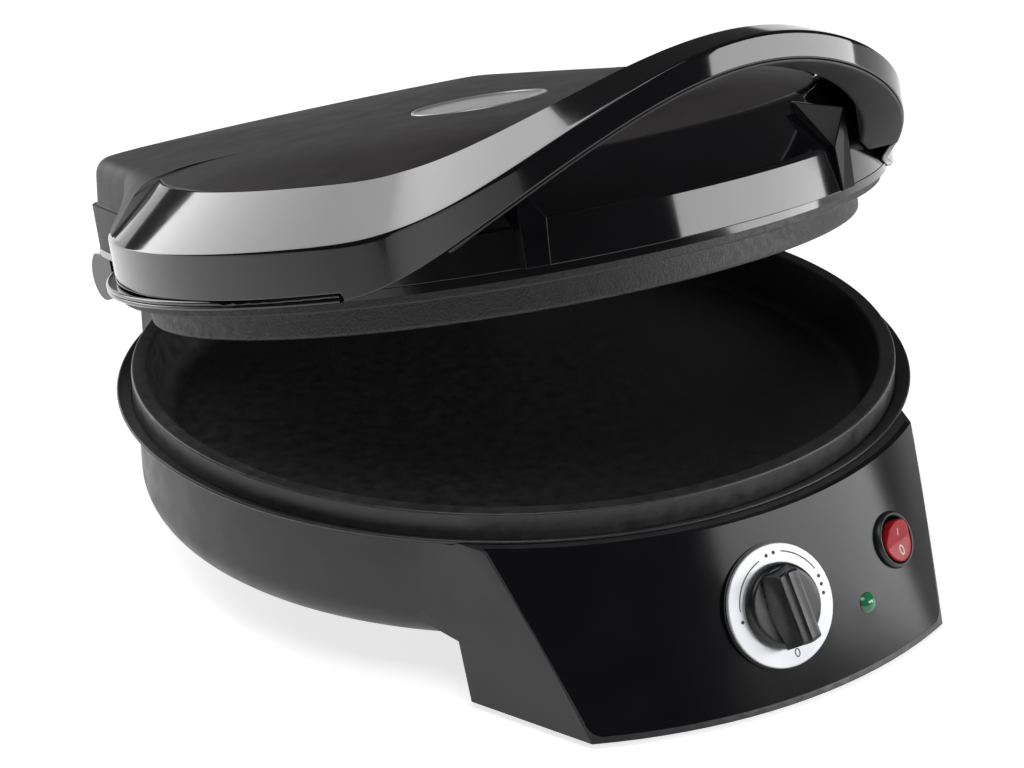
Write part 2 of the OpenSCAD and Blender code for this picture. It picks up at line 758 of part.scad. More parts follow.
module hinge_pins() {
    color([0.75, 0.75, 0.77])
        mirrored() translate([0, hinge_y, hinge_z]) rotate([0, 90, 0]) difference() {
            translate([0, 0, pin_in]) cylinder(r = pin_r, h = pin_out - pin_in);
            translate([0, 0, pin_in - 1]) cylinder(r = lead_bore, h = 80, $fn = 32);
        }
}

module hinge_lugs() {
    color([0.03, 0.03, 0.035])
        lid_pose() mirrored() translate([lug_span / 2 - lug_w, hinge_y, hinge_z]) difference() {
            union() {
                rotate([0, 90, 0]) cylinder(r = lug_r, h = lug_w);
                translate([0, -lug_r, 0]) cube([lug_w, 2 * lug_r - 6, lid_z - hinge_z]);
            }
            translate([-1, -lug_r - 1, lid_z - hinge_z]) cube([lug_w + 2, 2 * lug_r + 2, 9]);
            translate([-1, 0, 0]) rotate([0, 90, 0]) cylinder(r = bush_r, h = lug_w - 2.5);
            translate([lug_w - 5.5, -2.3, 0]) cylinder(r = lead_way, h = 40, $fn = 32);
        }
}

module hinge_bushes() {
    color([0.85, 0.82, 0.7])
        lid_pose() mirrored() translate([lug_span / 2 - lug_w + 0.3, hinge_y, hinge_z])
            rotate([0, 90, 0]) difference() {
                cylinder(r = bush_r - 0.02, h = lug_w - 8);
                translate([0, 0, -1]) cylinder(r = pin_r + run_fit, h = lug_w);
            }
}

// ---------- lid ----------

// Distance from the middle to the rear block's outline at angle p from the back:
// the softened meeting of a side plane and the rear plane
function block_out(p, side, side_a, rear) = let(
    s = side / cos(min(0, abs(p) - side_a)), b = rear / max(0.05, cos(p)), n = 40)
    pow(pow(s, -n) + pow(b, -n), -1 / n);

// Outline of the dome at height h and angle p from the back; u = 0 at its foot, 1 at its
// shoulder. Beside the handle's bevel the wall stays inside the bevel.
function dome_out(p, u) = let(
    h = u * shoulder_h,
    a = 180 - abs(p),
    above = max(0, (h - band_h) / (shoulder_h - band_h)),
    cone = band_r - 6 - (band_r - 6 - shoulder_r - 4) * above,
    block = block_out(p, 150.3 - 3.9 * u, 77.5, lid_rear - 13 * u))
    a < bevel_end + 1 + 9.5 * above ? bevel_in(a)
        : max(cone, block) - 16 * (1 - above) * (1 - rise(a, bevel_end, bevel_end + 8));

// The dome's outline where it lies inside the bevel, and inside the band behind the bevel
function bevel_in(a) = min(shoulder_r, in_r(min(a, bevel_end))) - 0.5;
function band_in(p) = let(a = 180 - abs(p))
    a < bevel_end + 1 ? bevel_in(a)
        : a < band_end + 2 ? arch_out(a) - cover_t - 1.1 - 5 * (1 - rise(a, bevel_end, bevel_end + 4))
        : dome_out(p, 0.1);

// Outline of the shoulder: an arc whose middle lies behind the lid's middle
function shoulder_out(p) = let(
    block = block_out(p, 146.4 - 3, 77.5, lid_rear - 16),
    c = 10, k = c * cos(p), arc = k + sqrt(k * k + pow(shoulder_r - 2, 2) - c * c))
    180 - abs(p) < bevel_end + 9 ? min(arc - 1, bevel_in(180 - abs(p))) : max(arc - 1, block);

dome_steps = 100;
function dome_angle(i) = 360 * i / dome_steps - 180;
function ring_at(r_of, h, grow) = [for (i = [0 : dome_steps - 1]) let(p = dome_angle(i))
    [-(r_of[i] + grow) * sin(p), (r_of[i] + grow) * cos(p), h]];

// How much higher the shoulder is at angle p from the back: most in the middle of the rear
// edge, none from the sides on
function crown(p) = let(x = shoulder_out(p) * sin(p) / 143.4)
    abs(p) > 90 ? 0 : rear_rise * pow(max(0, 1 - x * x), 0.7) * rise(cos(p), 0, 0.35);
// Height of the dome's outside over share q of the shoulder's radius
function top_at(p, q) = shoulder_h + dome_rise - (dome_rise - crown(p)) * pow(q, 4);
// A ring on the dome's top
function ring_over(r_of, q, drop) = [for (i = [0 : dome_steps - 1]) let(p = dome_angle(i),
    r = (r_of[i] - drop) * q) [-r * sin(p), r * cos(p), top_at(p, q) - drop]];
// A ring on the flank, raised as the shoulder above it is
function ring_up(r_of, h, grow) = [for (i = [0 : dome_steps - 1]) let(p = dome_angle(i))
    [-(r_of[i] + grow) * sin(p), (r_of[i] + grow) * cos(p), h + crown(p)]];

module lid_dome() {
    n = dome_steps;
    foot = [for (i = [0 : n - 1]) band_in(dome_angle(i))];
    low = [for (i = [0 : n - 1]) dome_out(dome_angle(i), (band_h + 0.5) / shoulder_h)];
    high = [for (i = [0 : n - 1]) dome_out(dome_angle(i), 0.9)];
    top = [for (i = [0 : n - 1]) shoulder_out(dome_angle(i))];
    near = [for (i = [0 : n - 1]) min(high[i] * 0.45 + top[i] * 0.55 + 0.8, max(high[i], top[i]))];
    top_h = shoulder_h;
    outer = concat(
        [ring_at(foot, frame_t, 0), ring_at(foot, band_h + 1.1, 0),
            ring_at(low, band_h + 1.4, 0), ring_up(high, 0.9 * top_h, 0),
            ring_up(near, top_h - 1.2, 0)],
        [for (q = [1, 0.9, 0.75, 0.5, 0.25]) ring_over(top, q, 0)]);
    inner = concat(
        [for (q = [0.25, 0.5, 0.75, 0.92]) ring_over(top, q, skin)],
        [ring_up(high, 0.9 * top_h - skin, -skin), ring_at(foot, band_h - 1.6, -skin),
            ring_at(foot, frame_t, -skin)]);
    rings = concat(outer, [[for (i = [0 : n - 1]) [0, 0, top_h + dome_rise]]],
        [[for (i = [0 : n - 1]) [0, 0, top_h + dome_rise - skin]]], inner);
    outer_n = len(outer);
    inner_n = len(inner);
    points = concat([for (r = outer) each r], [[0, 0, top_h + dome_rise]],
        [for (r = inner) each r], [[0, 0, top_h + dome_rise - skin]]);
    pole = outer_n * n;
    base = pole + 1;
    pole2 = base + inner_n * n;
    // the two halves are split into triangles the other way round, so that both are alike
    function quad(a, b, c, d, left) = left ? [[a, b, d], [b, c, d]] : [[a, b, c], [a, c, d]];
    shell = concat(
        [for (k = [0 : outer_n - 2], i = [0 : n - 1]) each quad(k * n + i, (k + 1) * n + i,
            (k + 1) * n + (i + 1) % n, k * n + (i + 1) % n, i >= n / 2)],
        [for (i = [0 : n - 1]) [(outer_n - 1) * n + i, pole, (outer_n - 1) * n + (i + 1) % n]],
        [for (i = [0 : n - 1]) [pole2, base + i, base + (i + 1) % n]],
        [for (k = [0 : inner_n - 2], i = [0 : n - 1]) each quad(base + k * n + i,
            base + (k + 1) * n + i, base + (k + 1) * n + (i + 1) % n, base + k * n + (i + 1) % n,
            i >= n / 2)],
        [for (i = [0 : n - 1]) each quad(base + (inner_n - 1) * n + i, i, (i + 1) % n,
            base + (inner_n - 1) * n + (i + 1) % n, i >= n / 2)]);
    color([0.2, 0.185, 0.18])
        at_lid() difference() {
            union() {
                difference() {
                    polyhedron(points, shell);
                    translate([0, 0, shoulder_h + dome_rise - 1.8]) badge_form(0.15, 5);
                }
                for (a = dome_screw_a) translate(polar(dome_screw_r, a, 0))
                    disc(5, frame_t + sheet_t, dome_in_h(dome_screw_r, a) + skin / 2);
            }
            for (a = dome_screw_a) translate(polar(dome_screw_r, a, 0))
                disc(screw_r, frame_t - 1, frame_t + 14);
        }
}

// Height of the dome's inside at radius r and angle a from the front
function dome_in_h(r, a) = top_at(180 - a, r / shoulder_out(180 - a)) - skin;

dome_screw_r = shoulder_r - 21;
dome_screw_a = [30, 90, 150, 210, 270, 330];

module badge_form(grow, h) {
    linear_extrude(h) polygon([for (t = [0 : 5 : 355])
        [(badge_a + grow) * cos(t), (badge_b + grow) * sin(t)]]);
}

module lid_badge() {
    color([0.78, 0.76, 0.76])
        at_lid() translate([0, 0, shoulder_h + dome_rise - 1.8]) {
            badge_form(0, 0.8);
            badge_form(-0.8, 1.3);
        }
}

// The frame: a ring with two beads round its edge and a plate that carries the hinge lugs
module lid_frame() {
    color([0.03, 0.03, 0.035])
        at_lid() difference() {
            union() {
                disc(band_r - cover_t - 0.3, 0, frame_t);
                linear_extrude(frame_t) polygon(concat(
                    [for (i = [-32 : 32]) let(p = i * 1.6, r = block_out(p, 150.3, 77.5, lid_rear))
                        [-r * sin(p), r * cos(p)]], [[-60, 0], [60, 0]]));
                // an edge with two beads, from the back to where the handle lifts off
                rotate([0, 0, -90 + 52]) rotate_extrude(angle = 360 - 104) {
                    translate([frame_r - 4, 0]) square([4, frame_t]);
                    for (h = [1, 3]) translate([frame_r, h]) circle(r = 1, $fn = 24);
                }
            }
            disc(frame_in, -1, frame_t + 1);
            for (a = dome_screw_a) translate(polar(dome_screw_r, a, 0))
                disc(screw_r + 0.1, -1, frame_t + 1);
            for (a = plate_screw_a) translate(polar(plate_screw_r, a, 0))
                disc(screw_r + 0.1, -1, frame_t + 1);
            for (s = [-1, 1]) translate([s * (lug_span / 2 - 5.5), hinge_y - 2.3, -1])
                disc(lead_way, 0, frame_t + 2);
        }
}

plate_screw_r = plug_r;
plate_screw_a = [0, 60, 120, 180, 240, 300];

// Radius of the outer face of the band and of the handle arch at angle a from the front
function arch_out(a) = band_r + (abs(a) < 44 ? arch_reach * pow(1 - pow(abs(a) / 44, 3), 1.6) : 0)
    - 5.5 * rise(abs(a), 60, 105);

// Five edges of the handle: outer lower, outer upper and inner upper edge of the gloss cover,
// and the inner lower edge of the grip
function low_h(a) = abs(a) > arch_a - 3 ? frame_t + 0.6 : arch_low * bump(a) + 0.3;
function top_h(a) = band_h + (arch_top - band_h) * pow(bump(a), 1.25);
function bevel_w(a) = (band_r - shoulder_r) - (band_r - shoulder_r - grip_w) * bump(a)
    - 2.5 * rise(abs(a), 60, 105);
function in_r(a) = arch_out(a) - bevel_w(a);
function in_h(a) = shoulder_h + (arch_in - shoulder_h) * pow(bump(a), 1.3);

// Section of the gloss cover: a wall and a bevel, or the wall alone behind the bevel's end
function cover_section(a) = let(
    past = abs(a) > bevel_end + 1,
    skew = past ? 0 : 7 * rise(abs(a), bevel_end - 12, bevel_end),
    s = sign(a),
    r = arch_out(a), t = cover_t,
    ri = past ? r - t - 0.6 : in_r(a), hi = past ? band_h + 1 : in_h(a),
    lo = low_h(a), hi_o = top_h(a)) [
    polar(r, a, lo), polar(r, a, hi_o - 1.2), polar(r - 1, a, hi_o + 0.2),
    polar(ri, a + s * skew, hi),
    polar(ri, a + s * skew, hi - t * 0.8), polar(r - t - 0.5, a, hi_o - t * 0.8),
    polar(r - t, a, hi_o - t - 0.6), polar(r - t, a, lo)];

module handle_cover() {
    spread = [for (a = [-band_end : 4 : -bevel_end - 3]) a];
    outer = [for (a = [-bevel_end : 3 : -arch_a + 2]) a];
    middle = [for (a = [-arch_a + 3 : 2.5 : arch_a - 3]) a];
    half = concat(spread, [-bevel_end - 1.2, -bevel_end], [for (a = outer) if (a > -bevel_end + 1) a]);
    back = [for (i = [len(half) - 1 : -1 : 0]) -half[i]];
    color([0.02, 0.02, 0.025])
        at_lid() bar([for (a = concat(half, middle, back)) cover_section(a)]);
}

// The lower half of the handle, which the fingers close round
grip_a = 36;
function grip_section(a) = let(
    r = arch_out(a), t = cover_t + 0.2, b = bump(a),
    il = max(band_r - 2.9, r - grip_w - 0.5),
    lo = arch_low * b + 0.3, hl = max(2, arch_low - 2.5) * pow(b, 1.1) + 0.5) [
    polar(r - 0.8, a, lo - 1.4), polar(r - 0.8, a, lo - 0.25), polar(r - t, a, lo - 0.25),
    polar(r - t, a, max(lo + 0.2, under_h(a, r - t))),
    polar(il + 0.3, a, max(hl + 0.8, under_h(a, il + 0.3))),
    polar(il, a, hl + 0.6), polar(il, a, hl), polar(il + 1, a, hl - 0.5)];

// Height of the grip's top at radius r, just under the gloss cover's bevel
function under_h(a, r) = let(slope = (in_h(a) - top_h(a)) / (bevel_w(a) - cover_t - 0.5))
    top_h(a) - 0.8 * cover_t - 1.1 + slope * max(0, arch_out(a) - cover_t - 0.5 - r);

module grip_cover() {
    color([0.22, 0.21, 0.21])
        at_lid() difference() {
            bar([for (a = [-grip_a : 2.5 : grip_a]) grip_section(a)]);
            for (a = grip_screw_a) translate(polar(arch_out(a) - grip_w / 2, a, 0)) {
                disc(head_r - 0.4, 0, grip_screw_h(a));
                disc(1.3, 0, grip_screw_h(a) + 5.2);
            }
        }
}

grip_screw_a = [-16, 16];
function grip_screw_h(a) = arch_low * bump(a) + 2.5;

module grip_screws() {
    color([0.7, 0.7, 0.72])
        at_lid() for (a = grip_screw_a) translate(polar(arch_out(a) - grip_w / 2, a, 0)) {
            z = grip_screw_h(a);
            disc(head_r - 0.6, z - 2, z);
            disc(1.2, z - 1, z + 5);
        }
}

// Half section of the wall and bevel under the handle
function surround_points(grow) = [
    [shoulder_r + 0.8, frame_t], [frame_r - 1.6 + grow, frame_t],
    [frame_r - 1.6 + grow, band_h - 4 + grow / 2], [shoulder_r + 2 + grow, shoulder_h - 3.8],
    [shoulder_r + 0.8, shoulder_h - 3.2]];

module front_surround() {
    color([0.03, 0.03, 0.035])
        at_lid() difference() {
            rotate([0, 0, -90 - 52]) rotate_extrude(angle = 104) polygon(surround_points(0));
            rotate([0, 0, -90 - 51]) rotate_extrude(angle = 102) polygon([
                [shoulder_r + 4, frame_t - 1], [frame_r - 4.2, frame_t - 1],
                [frame_r - 4.2, band_h - 6], [shoulder_r + 4, shoulder_h - 8]]);
            translate([-panel_hw - 0.1, -220, -1]) cube([2 * panel_hw + 0.2, 100, 80]);
        }
}

// The faceted panel between the handle's legs, with an upright pillar at each end
module front_panel() {
    face_r = band_r - 0.8;
    corner_y = sqrt(face_r * face_r - panel_hw * panel_hw);
    color([0.02, 0.02, 0.025])
        at_lid() difference() {
            union() {
                intersection() {
                    rotate_extrude() polygon([
                        [shoulder_r + 0.8, frame_t], [face_r, frame_t], [face_r - 2.5, band_h - 1.5],
                        [shoulder_r + 4, shoulder_h - 1.5], [shoulder_r + 0.8, shoulder_h - 1]]);
                    translate([-panel_hw, -200, 0]) cube([2 * panel_hw, 100, 60]);
                }
                mirrored() hull() {
                    translate([panel_hw - 0.2, -corner_y, frame_t]) cube([0.2, 0.2, 34]);
                    translate([panel_hw - 14, -corner_y - 3.5, frame_t]) cube([0.2, 0.2, 14]);
                    translate([panel_hw - 12, -corner_y + 18, shoulder_h - 3]) cube([0.2, 0.2, 0.8]);
                    translate([panel_hw - 0.2, -corner_y + 24, frame_t]) cube([0.2, 0.2, 34]);
                }
            }
            intersection() {
                rotate_extrude() polygon([
                    [shoulder_r + 4, frame_t - 1], [face_r - 2.5, frame_t - 1],
                    [face_r - 4.8, band_h - 3], [shoulder_r + 4, shoulder_h - 5.5]]);
                translate([-panel_hw + 15, -200, 0]) cube([2 * panel_hw - 30, 100, 60]);
            }
        }
}

module upper_plate() {
    color([0.14, 0.14, 0.14])
        at_lid() difference() {
            rotate_extrude() union() {
                polygon([[plug_r - plate_rim, -plate_flange_t], [plug_r - 10, -0.05],
                    [plate_r, -0.05], [plate_r, -plate_flange_t]]);
                polygon([[0, -plug_h + recess], [plug_r - plate_rim - 4, -plug_h + recess],
                    [plug_r - plate_rim - 2, -plug_h], [plug_r - 1.5, -plug_h],
                    [plug_r, -plug_h + 1.5], [plug_r, -plate_flange_t + 1],
                    [plug_r - plate_rim, -plate_flange_t + 1],
                    [plug_r - plate_rim, -plug_h + recess + plate_web],
                    [0, -plug_h + recess + plate_web]]);
            }
            for (a = plate_screw_a) translate(polar(plate_screw_r, a, 0))
                disc(screw_r, -plate_flange_t + 0.8, 1);
        }
}

module plate_screws() {
    color([0.7, 0.7, 0.72])
        at_lid() for (a = plate_screw_a) translate(polar(plate_screw_r, a, 0)) {
            disc(screw_r - 0.02, -plate_flange_t + 1, frame_t + 1);
            disc(head_r, frame_t, frame_t + 2);
        }
}

module dome_screws() {
    color([0.7, 0.7, 0.72])
        at_lid() for (a = dome_screw_a) translate(polar(dome_screw_r, a, 0)) {
            disc(screw_r - 0.02, -1, frame_t + 12);
            disc(head_r, -2, 0);
        }
}

module upper_reflector() {
    r = dome_screw_r + 7;
    color([0.75, 0.75, 0.77])
        at_lid() difference() {
            disc(r, frame_t, frame_t + sheet_t);
            for (a = dome_screw_a) translate(polar(dome_screw_r, a, 0))
                disc(screw_r + 0.1, 0, frame_t + 3);
            translate([-40, element_r - 12, 0]) cube([80, 14, 20]);
        }
}

module upper_element() {
    color([0.35, 0.33, 0.32])
        at_lid() rotate([0, 0, 180]) translate([0, 0, upper_tube_h]) heater(element_r + 14);
}

module upper_clips() {
    color([0.7, 0.7, 0.7]) at_lid() rotate([0, 0, 180]) translate([0, 0, upper_tube_h]) straps(-1);
}

module lid_fuse() {
    color([0.85, 0.85, 0.83])
        at_lid() translate([-13, 0, upper_tube_h + 1.8]) {
            rotate([0, 90, 0]) cylinder(r = 5, h = 26, $fn = 32);
            translate([-6, 0, 0]) rotate([0, 90, 0]) cylinder(r = 1, h = 38, $fn = 24);
        }
}

module lid_wiring() {
    x = lug_span / 2 - 5.1;
    leg_x = element_r * sin(20);
    axis_h = hinge_z - lid_z;
    color([0.75, 0.3, 0.2])
        at_lid() wire([[pin_out - 7, hinge_y, axis_h], [x, hinge_y, axis_h],
            [x, hinge_y - 4.1, frame_t + 2.5], [leg_x, 97.5, frame_t + 6],
            [leg_x, 97.5, upper_tube_h + tube_r + 0.1]], wire_r);
}

base_housing();
rim_ring();
baking_pan();
pan_spacers();
pan_screws();
lower_reflector();
lower_element();
element_clips();
thermal_fuse();
fascia();
dial_ring();
thermostat();
switch_body();
lamp_lens();
lamp_holder();
terminal_block();
base_wiring();
bottom_cover();
cover_screws();
rubber_feet();
cord_gland();
hinge_pins();
control_knob();
thermostat_shaft();
switch_rocker();
lid_frame();
lid_dome();
handle_cover();
grip_cover();
grip_screws();
front_surround();
front_panel();
lid_badge();
upper_plate();
plate_screws();
dome_screws();
upper_reflector();
upper_element();
upper_clips();
lid_fuse();
lid_wiring();
hinge_lugs();
hinge_bushes();
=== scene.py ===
import math

import bmesh
import bpy
import numpy as np
from mathutils import Matrix, Vector


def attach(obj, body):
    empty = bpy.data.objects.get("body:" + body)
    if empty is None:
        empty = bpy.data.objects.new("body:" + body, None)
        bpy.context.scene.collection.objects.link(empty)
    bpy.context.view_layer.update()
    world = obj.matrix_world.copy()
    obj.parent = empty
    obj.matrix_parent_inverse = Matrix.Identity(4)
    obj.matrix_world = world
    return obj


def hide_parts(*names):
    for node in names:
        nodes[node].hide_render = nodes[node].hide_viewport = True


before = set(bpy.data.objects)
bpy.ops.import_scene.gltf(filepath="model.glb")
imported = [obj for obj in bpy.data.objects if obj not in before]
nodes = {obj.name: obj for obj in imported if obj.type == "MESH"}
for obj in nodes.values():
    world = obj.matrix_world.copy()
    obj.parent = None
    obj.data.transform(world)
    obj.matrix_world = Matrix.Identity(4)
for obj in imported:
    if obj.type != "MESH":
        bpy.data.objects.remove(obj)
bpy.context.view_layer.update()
print("frame loaded:", len(nodes), "CAD nodes")

# camera: the photograph's view

camera = {"azimuth": -31.84, "elevation": 24.01, "roll": -1.13, "distance": 1.4,
    "target": (-0.00084, 0.0, 0.06461), "lens": 109.19, "film": 36, "near": 0.05, "far": 100}


def placeCamera(c):
    # back points from the target to the camera; right and up are turned by the roll about it
    a, e, r = (math.radians(c[k]) for k in ("azimuth", "elevation", "roll"))
    back = Vector((math.sin(a) * math.cos(e), -math.cos(a) * math.cos(e), math.sin(e)))
    right = Vector((math.cos(a), math.sin(a), 0))
    up = back.cross(right)
    turnedRight = right * math.cos(r) + up * math.sin(r)
    turnedUp = up * math.cos(r) - right * math.sin(r)
    data = bpy.data.cameras.new("photoCamera")
    data.lens, data.sensor_width = c["lens"], c["film"]
    data.clip_start, data.clip_end = c["near"], c["far"]
    obj = bpy.data.objects.new("photoCamera", data)
    axes = Matrix((turnedRight, turnedUp, back)).transposed().to_4x4()
    obj.matrix_world = Matrix.Translation(Vector(c["target"]) + back * c["distance"]) @ axes
    bpy.context.scene.collection.objects.link(obj)
    bpy.context.scene.camera = obj


placeCamera(camera)

# floor, world and lamps

# lengths in metres; each lamp is (place, what it faces, width, height, brightness, roll in
# degrees)
studio = {"floorColour": (0.80, 0.80, 0.80), "floorGlow": 0.75, "floorReach": 14, "world": 0.05,
    "lamps": {
        "backPanel": ((-0.60, 1.62, 1.20), (-0.60, 0.0, 1.20), 0.90, 2.2, 3.6, 0),
        "frontStrip": ((0.83, -0.90, 0.36), (0.05, -0.2, 0.12), 1.2, 0.34, 6.2, -20),
        "overhead": ((-0.5, -0.5, 1.5), (0.0, 0.0, 0.1), 1.0, 0.8, 3.4, 0)}}


def newMaterial(name):
    m = bpy.data.materials.new(name)
    m.use_nodes = True
    tree = m.node_tree
    tree.nodes.clear()
    return m, tree.nodes, tree.links


def makeFloor(s):
    # The floor glows for the camera and in mirrors and glass only, so that its glow doesn't
    # light the object
    m, n, k = newMaterial("paleFloor")
    diffuse = n.new("ShaderNodeBsdfDiffuse")
    diffuse.inputs["Color"].default_value = (*s["floorColour"], 1)
    glow = n.new("ShaderNodeEmission")
    glow.inputs["Strength"].default_value = s["floorGlow"]
    both = n.new("ShaderNodeAddShader")
    path = n.new("ShaderNodeLightPath")
    seen = n.new("ShaderNodeMath")
    seen.operation = "MAXIMUM"
    seenToo = n.new("ShaderNodeMath")
    seenToo.operation = "MAXIMUM"
    choose = n.new("ShaderNodeMixShader")
    out = n.new("ShaderNodeOutputMaterial")
    k.new(path.outputs["Is Camera Ray"], seen.inputs[0])
    k.new(path.outputs["Is Glossy Ray"], seen.inputs[1])
    k.new(seen.outputs[0], seenToo.inputs[0])
    k.new(path.outputs["Is Transmission Ray"], seenToo.inputs[1])
    k.new(diffuse.outputs[0], both.inputs[0])
    k.new(glow.outputs[0], both.inputs[1])
    k.new(seenToo.outputs[0], choose.inputs[0])
    k.new(diffuse.outputs[0], choose.inputs[1])
    k.new(both.outputs[0], choose.inputs[2])
    k.new(choose.outputs[0], out.inputs["Surface"])
    mesh = bpy.data.meshes.new("floor")
    r = s["floorReach"]
    mesh.from_pydata([(-r, -r, 0), (r, -r, 0), (r, r, 0), (-r, r, 0)], [], [(0, 1, 2, 3)])
    mesh.materials.append(m)
    floor = bpy.data.objects.new("floor", mesh)
    bpy.context.scene.collection.objects.link(floor)


def makeLamp(name, place, aim, width, height, brightness, roll):
    data = bpy.data.lights.new(name, "AREA")
    data.shape, data.size, data.size_y = "RECTANGLE", width, height
    data.energy = brightness * math.pi * width * height   # brightness of the panel's face
    obj = bpy.data.objects.new(name, data)
    obj.location = place
    facing = (Vector(place) - Vector(aim)).to_track_quat("Z", "Y").to_matrix()
    obj.rotation_euler = (facing @ Matrix.Rotation(math.radians(roll), 3, "Z")).to_euler()
    obj.visible_camera = False
    bpy.context.scene.collection.objects.link(obj)


makeFloor(studio)
world = bpy.data.worlds.new("studio")
world.use_nodes = True
world.node_tree.nodes["Background"].inputs["Color"].default_value = (1, 1, 1, 1)
world.node_tree.nodes["Background"].inputs["Strength"].default_value = studio["world"]
bpy.context.scene.world = world
for lampName, panel in studio["lamps"].items():
    makeLamp(lampName, *panel)
bpy.context.scene.view_settings.view_transform = "Standard"
print("camera, floor and lamps placed")

# finishes

# how the two noises are used: their detail, and the part of their range that is spread out
noise = {"broadDetail": 3, "fineDetail": 2, "low": 0.3, "high": 0.7}

# colour, roughness, how much noise moves the roughness and the colour (a share), noise scale
# per metre, bump height in metres and its scale per metre; then metal, reflection and coat
finishes = {
    "satinHousing": dict(colour=(0.037, 0.037, 0.040), rough=0.40, roughShift=0.06,
        shift=0.15, scale=90, bump=0.00004, bumpScale=2600),
    "fasciaBlack": dict(colour=(0.007, 0.007, 0.0085), rough=0.17, roughShift=0.02,
        shift=0.1, scale=40, bump=0.0, bumpScale=500, specular=0.24),
    "pillarBlack": dict(colour=(0.006, 0.006, 0.0075), rough=0.22, roughShift=0.03,
        shift=0.1, scale=40, bump=0.0, bumpScale=500, specular=0.12),
    "glossBlack": dict(colour=(0.006, 0.006, 0.0075), rough=0.09, roughShift=0.03,
        shift=0.1, scale=40, bump=0.0, bumpScale=500, coat=0.35, coatRough=0.03),
    "domeSatin": dict(colour=(0.040, 0.036, 0.036), rough=0.52, roughShift=0.05, shift=0.12,
        scale=60, bump=0.00003, bumpScale=3000, specular=0.22),
    "gripMatte": dict(colour=(0.035, 0.034, 0.035), rough=0.48, roughShift=0.06, shift=0.12,
        scale=70, bump=0.00003, bumpScale=2800),
    "panCoating": dict(colour=(0.042, 0.042, 0.043), rough=0.40, roughShift=0.08, shift=0.25,
        scale=160, bump=0.00006, bumpScale=1500),
    "castPlate": dict(colour=(0.035, 0.035, 0.036), rough=0.55, roughShift=0.1, shift=0.35,
        scale=300, bump=0.00025, bumpScale=900),
    "brightSheet": dict(colour=(0.72, 0.72, 0.74), rough=0.3, roughShift=0.1, shift=0.06,
        scale=120, bump=0.00002, bumpScale=800, metallic=1.0),
    "screwSteel": dict(colour=(0.56, 0.57, 0.58), rough=0.28, roughShift=0.08, shift=0.08,
        scale=400, bump=0.00002, bumpScale=3000, metallic=1.0),
    "heaterSteel": dict(colour=(0.30, 0.27, 0.25), rough=0.45, roughShift=0.12, shift=0.3,
        scale=180, bump=0.00003, bumpScale=1200, metallic=1.0),
    "dialSilver": dict(colour=(0.78, 0.79, 0.82), rough=0.40, roughShift=0.04, shift=0.04,
        scale=200, bump=0.00001, bumpScale=4000, metallic=0.35),
    "plateSilver": dict(colour=(0.56, 0.55, 0.56), rough=0.34, roughShift=0.05, shift=0.05,
        scale=150, bump=0.00001, bumpScale=3000, metallic=0.6),
    "knobBlack": dict(colour=(0.010, 0.010, 0.012), rough=0.30, roughShift=0.06, shift=0.15,
        scale=120, bump=0.00002, bumpScale=3500),
    "bezelBlack": dict(colour=(0.016, 0.019, 0.019), rough=0.34, roughShift=0.05, shift=0.12,
        scale=150, bump=0.00001, bumpScale=3500),
    "rockerRed": dict(colour=(0.42, 0.010, 0.018), rough=0.22, roughShift=0.04, shift=0.1,
        scale=150, bump=0.0, bumpScale=1000, specular=0.2),
    "lampGreen": dict(colour=(0.02, 0.22, 0.09), rough=0.10, roughShift=0.03, shift=0.2,
        scale=500, bump=0.0, bumpScale=1000, coat=0.6, coatRough=0.03),
    "markBlack": dict(colour=(0.012, 0.012, 0.013), rough=0.5, roughShift=0.05, shift=0.1,
        scale=300, bump=0.0, bumpScale=1000),
    "markWhite": dict(colour=(0.80, 0.78, 0.76), rough=0.5, roughShift=0.05, shift=0.05,
        scale=300, bump=0.0, bumpScale=1000),
    "ceramicWhite": dict(colour=(0.74, 0.72, 0.66), rough=0.5, roughShift=0.1, shift=0.08,
        scale=200, bump=0.00003, bumpScale=1500),
    "brassPart": dict(colour=(0.62, 0.46, 0.20), rough=0.35, roughShift=0.1, shift=0.15,
        scale=250, bump=0.00002, bumpScale=1500, metallic=1.0),
    "wireSleeve": dict(colour=(0.42, 0.10, 0.06), rough=0.55, roughShift=0.1, shift=0.15,
        scale=200, bump=0.00002, bumpScale=2500),
    "rubberBlack": dict(colour=(0.016, 0.016, 0.016), rough=0.7, roughShift=0.08, shift=0.2,
        scale=200, bump=0.00008, bumpScale=1800)}


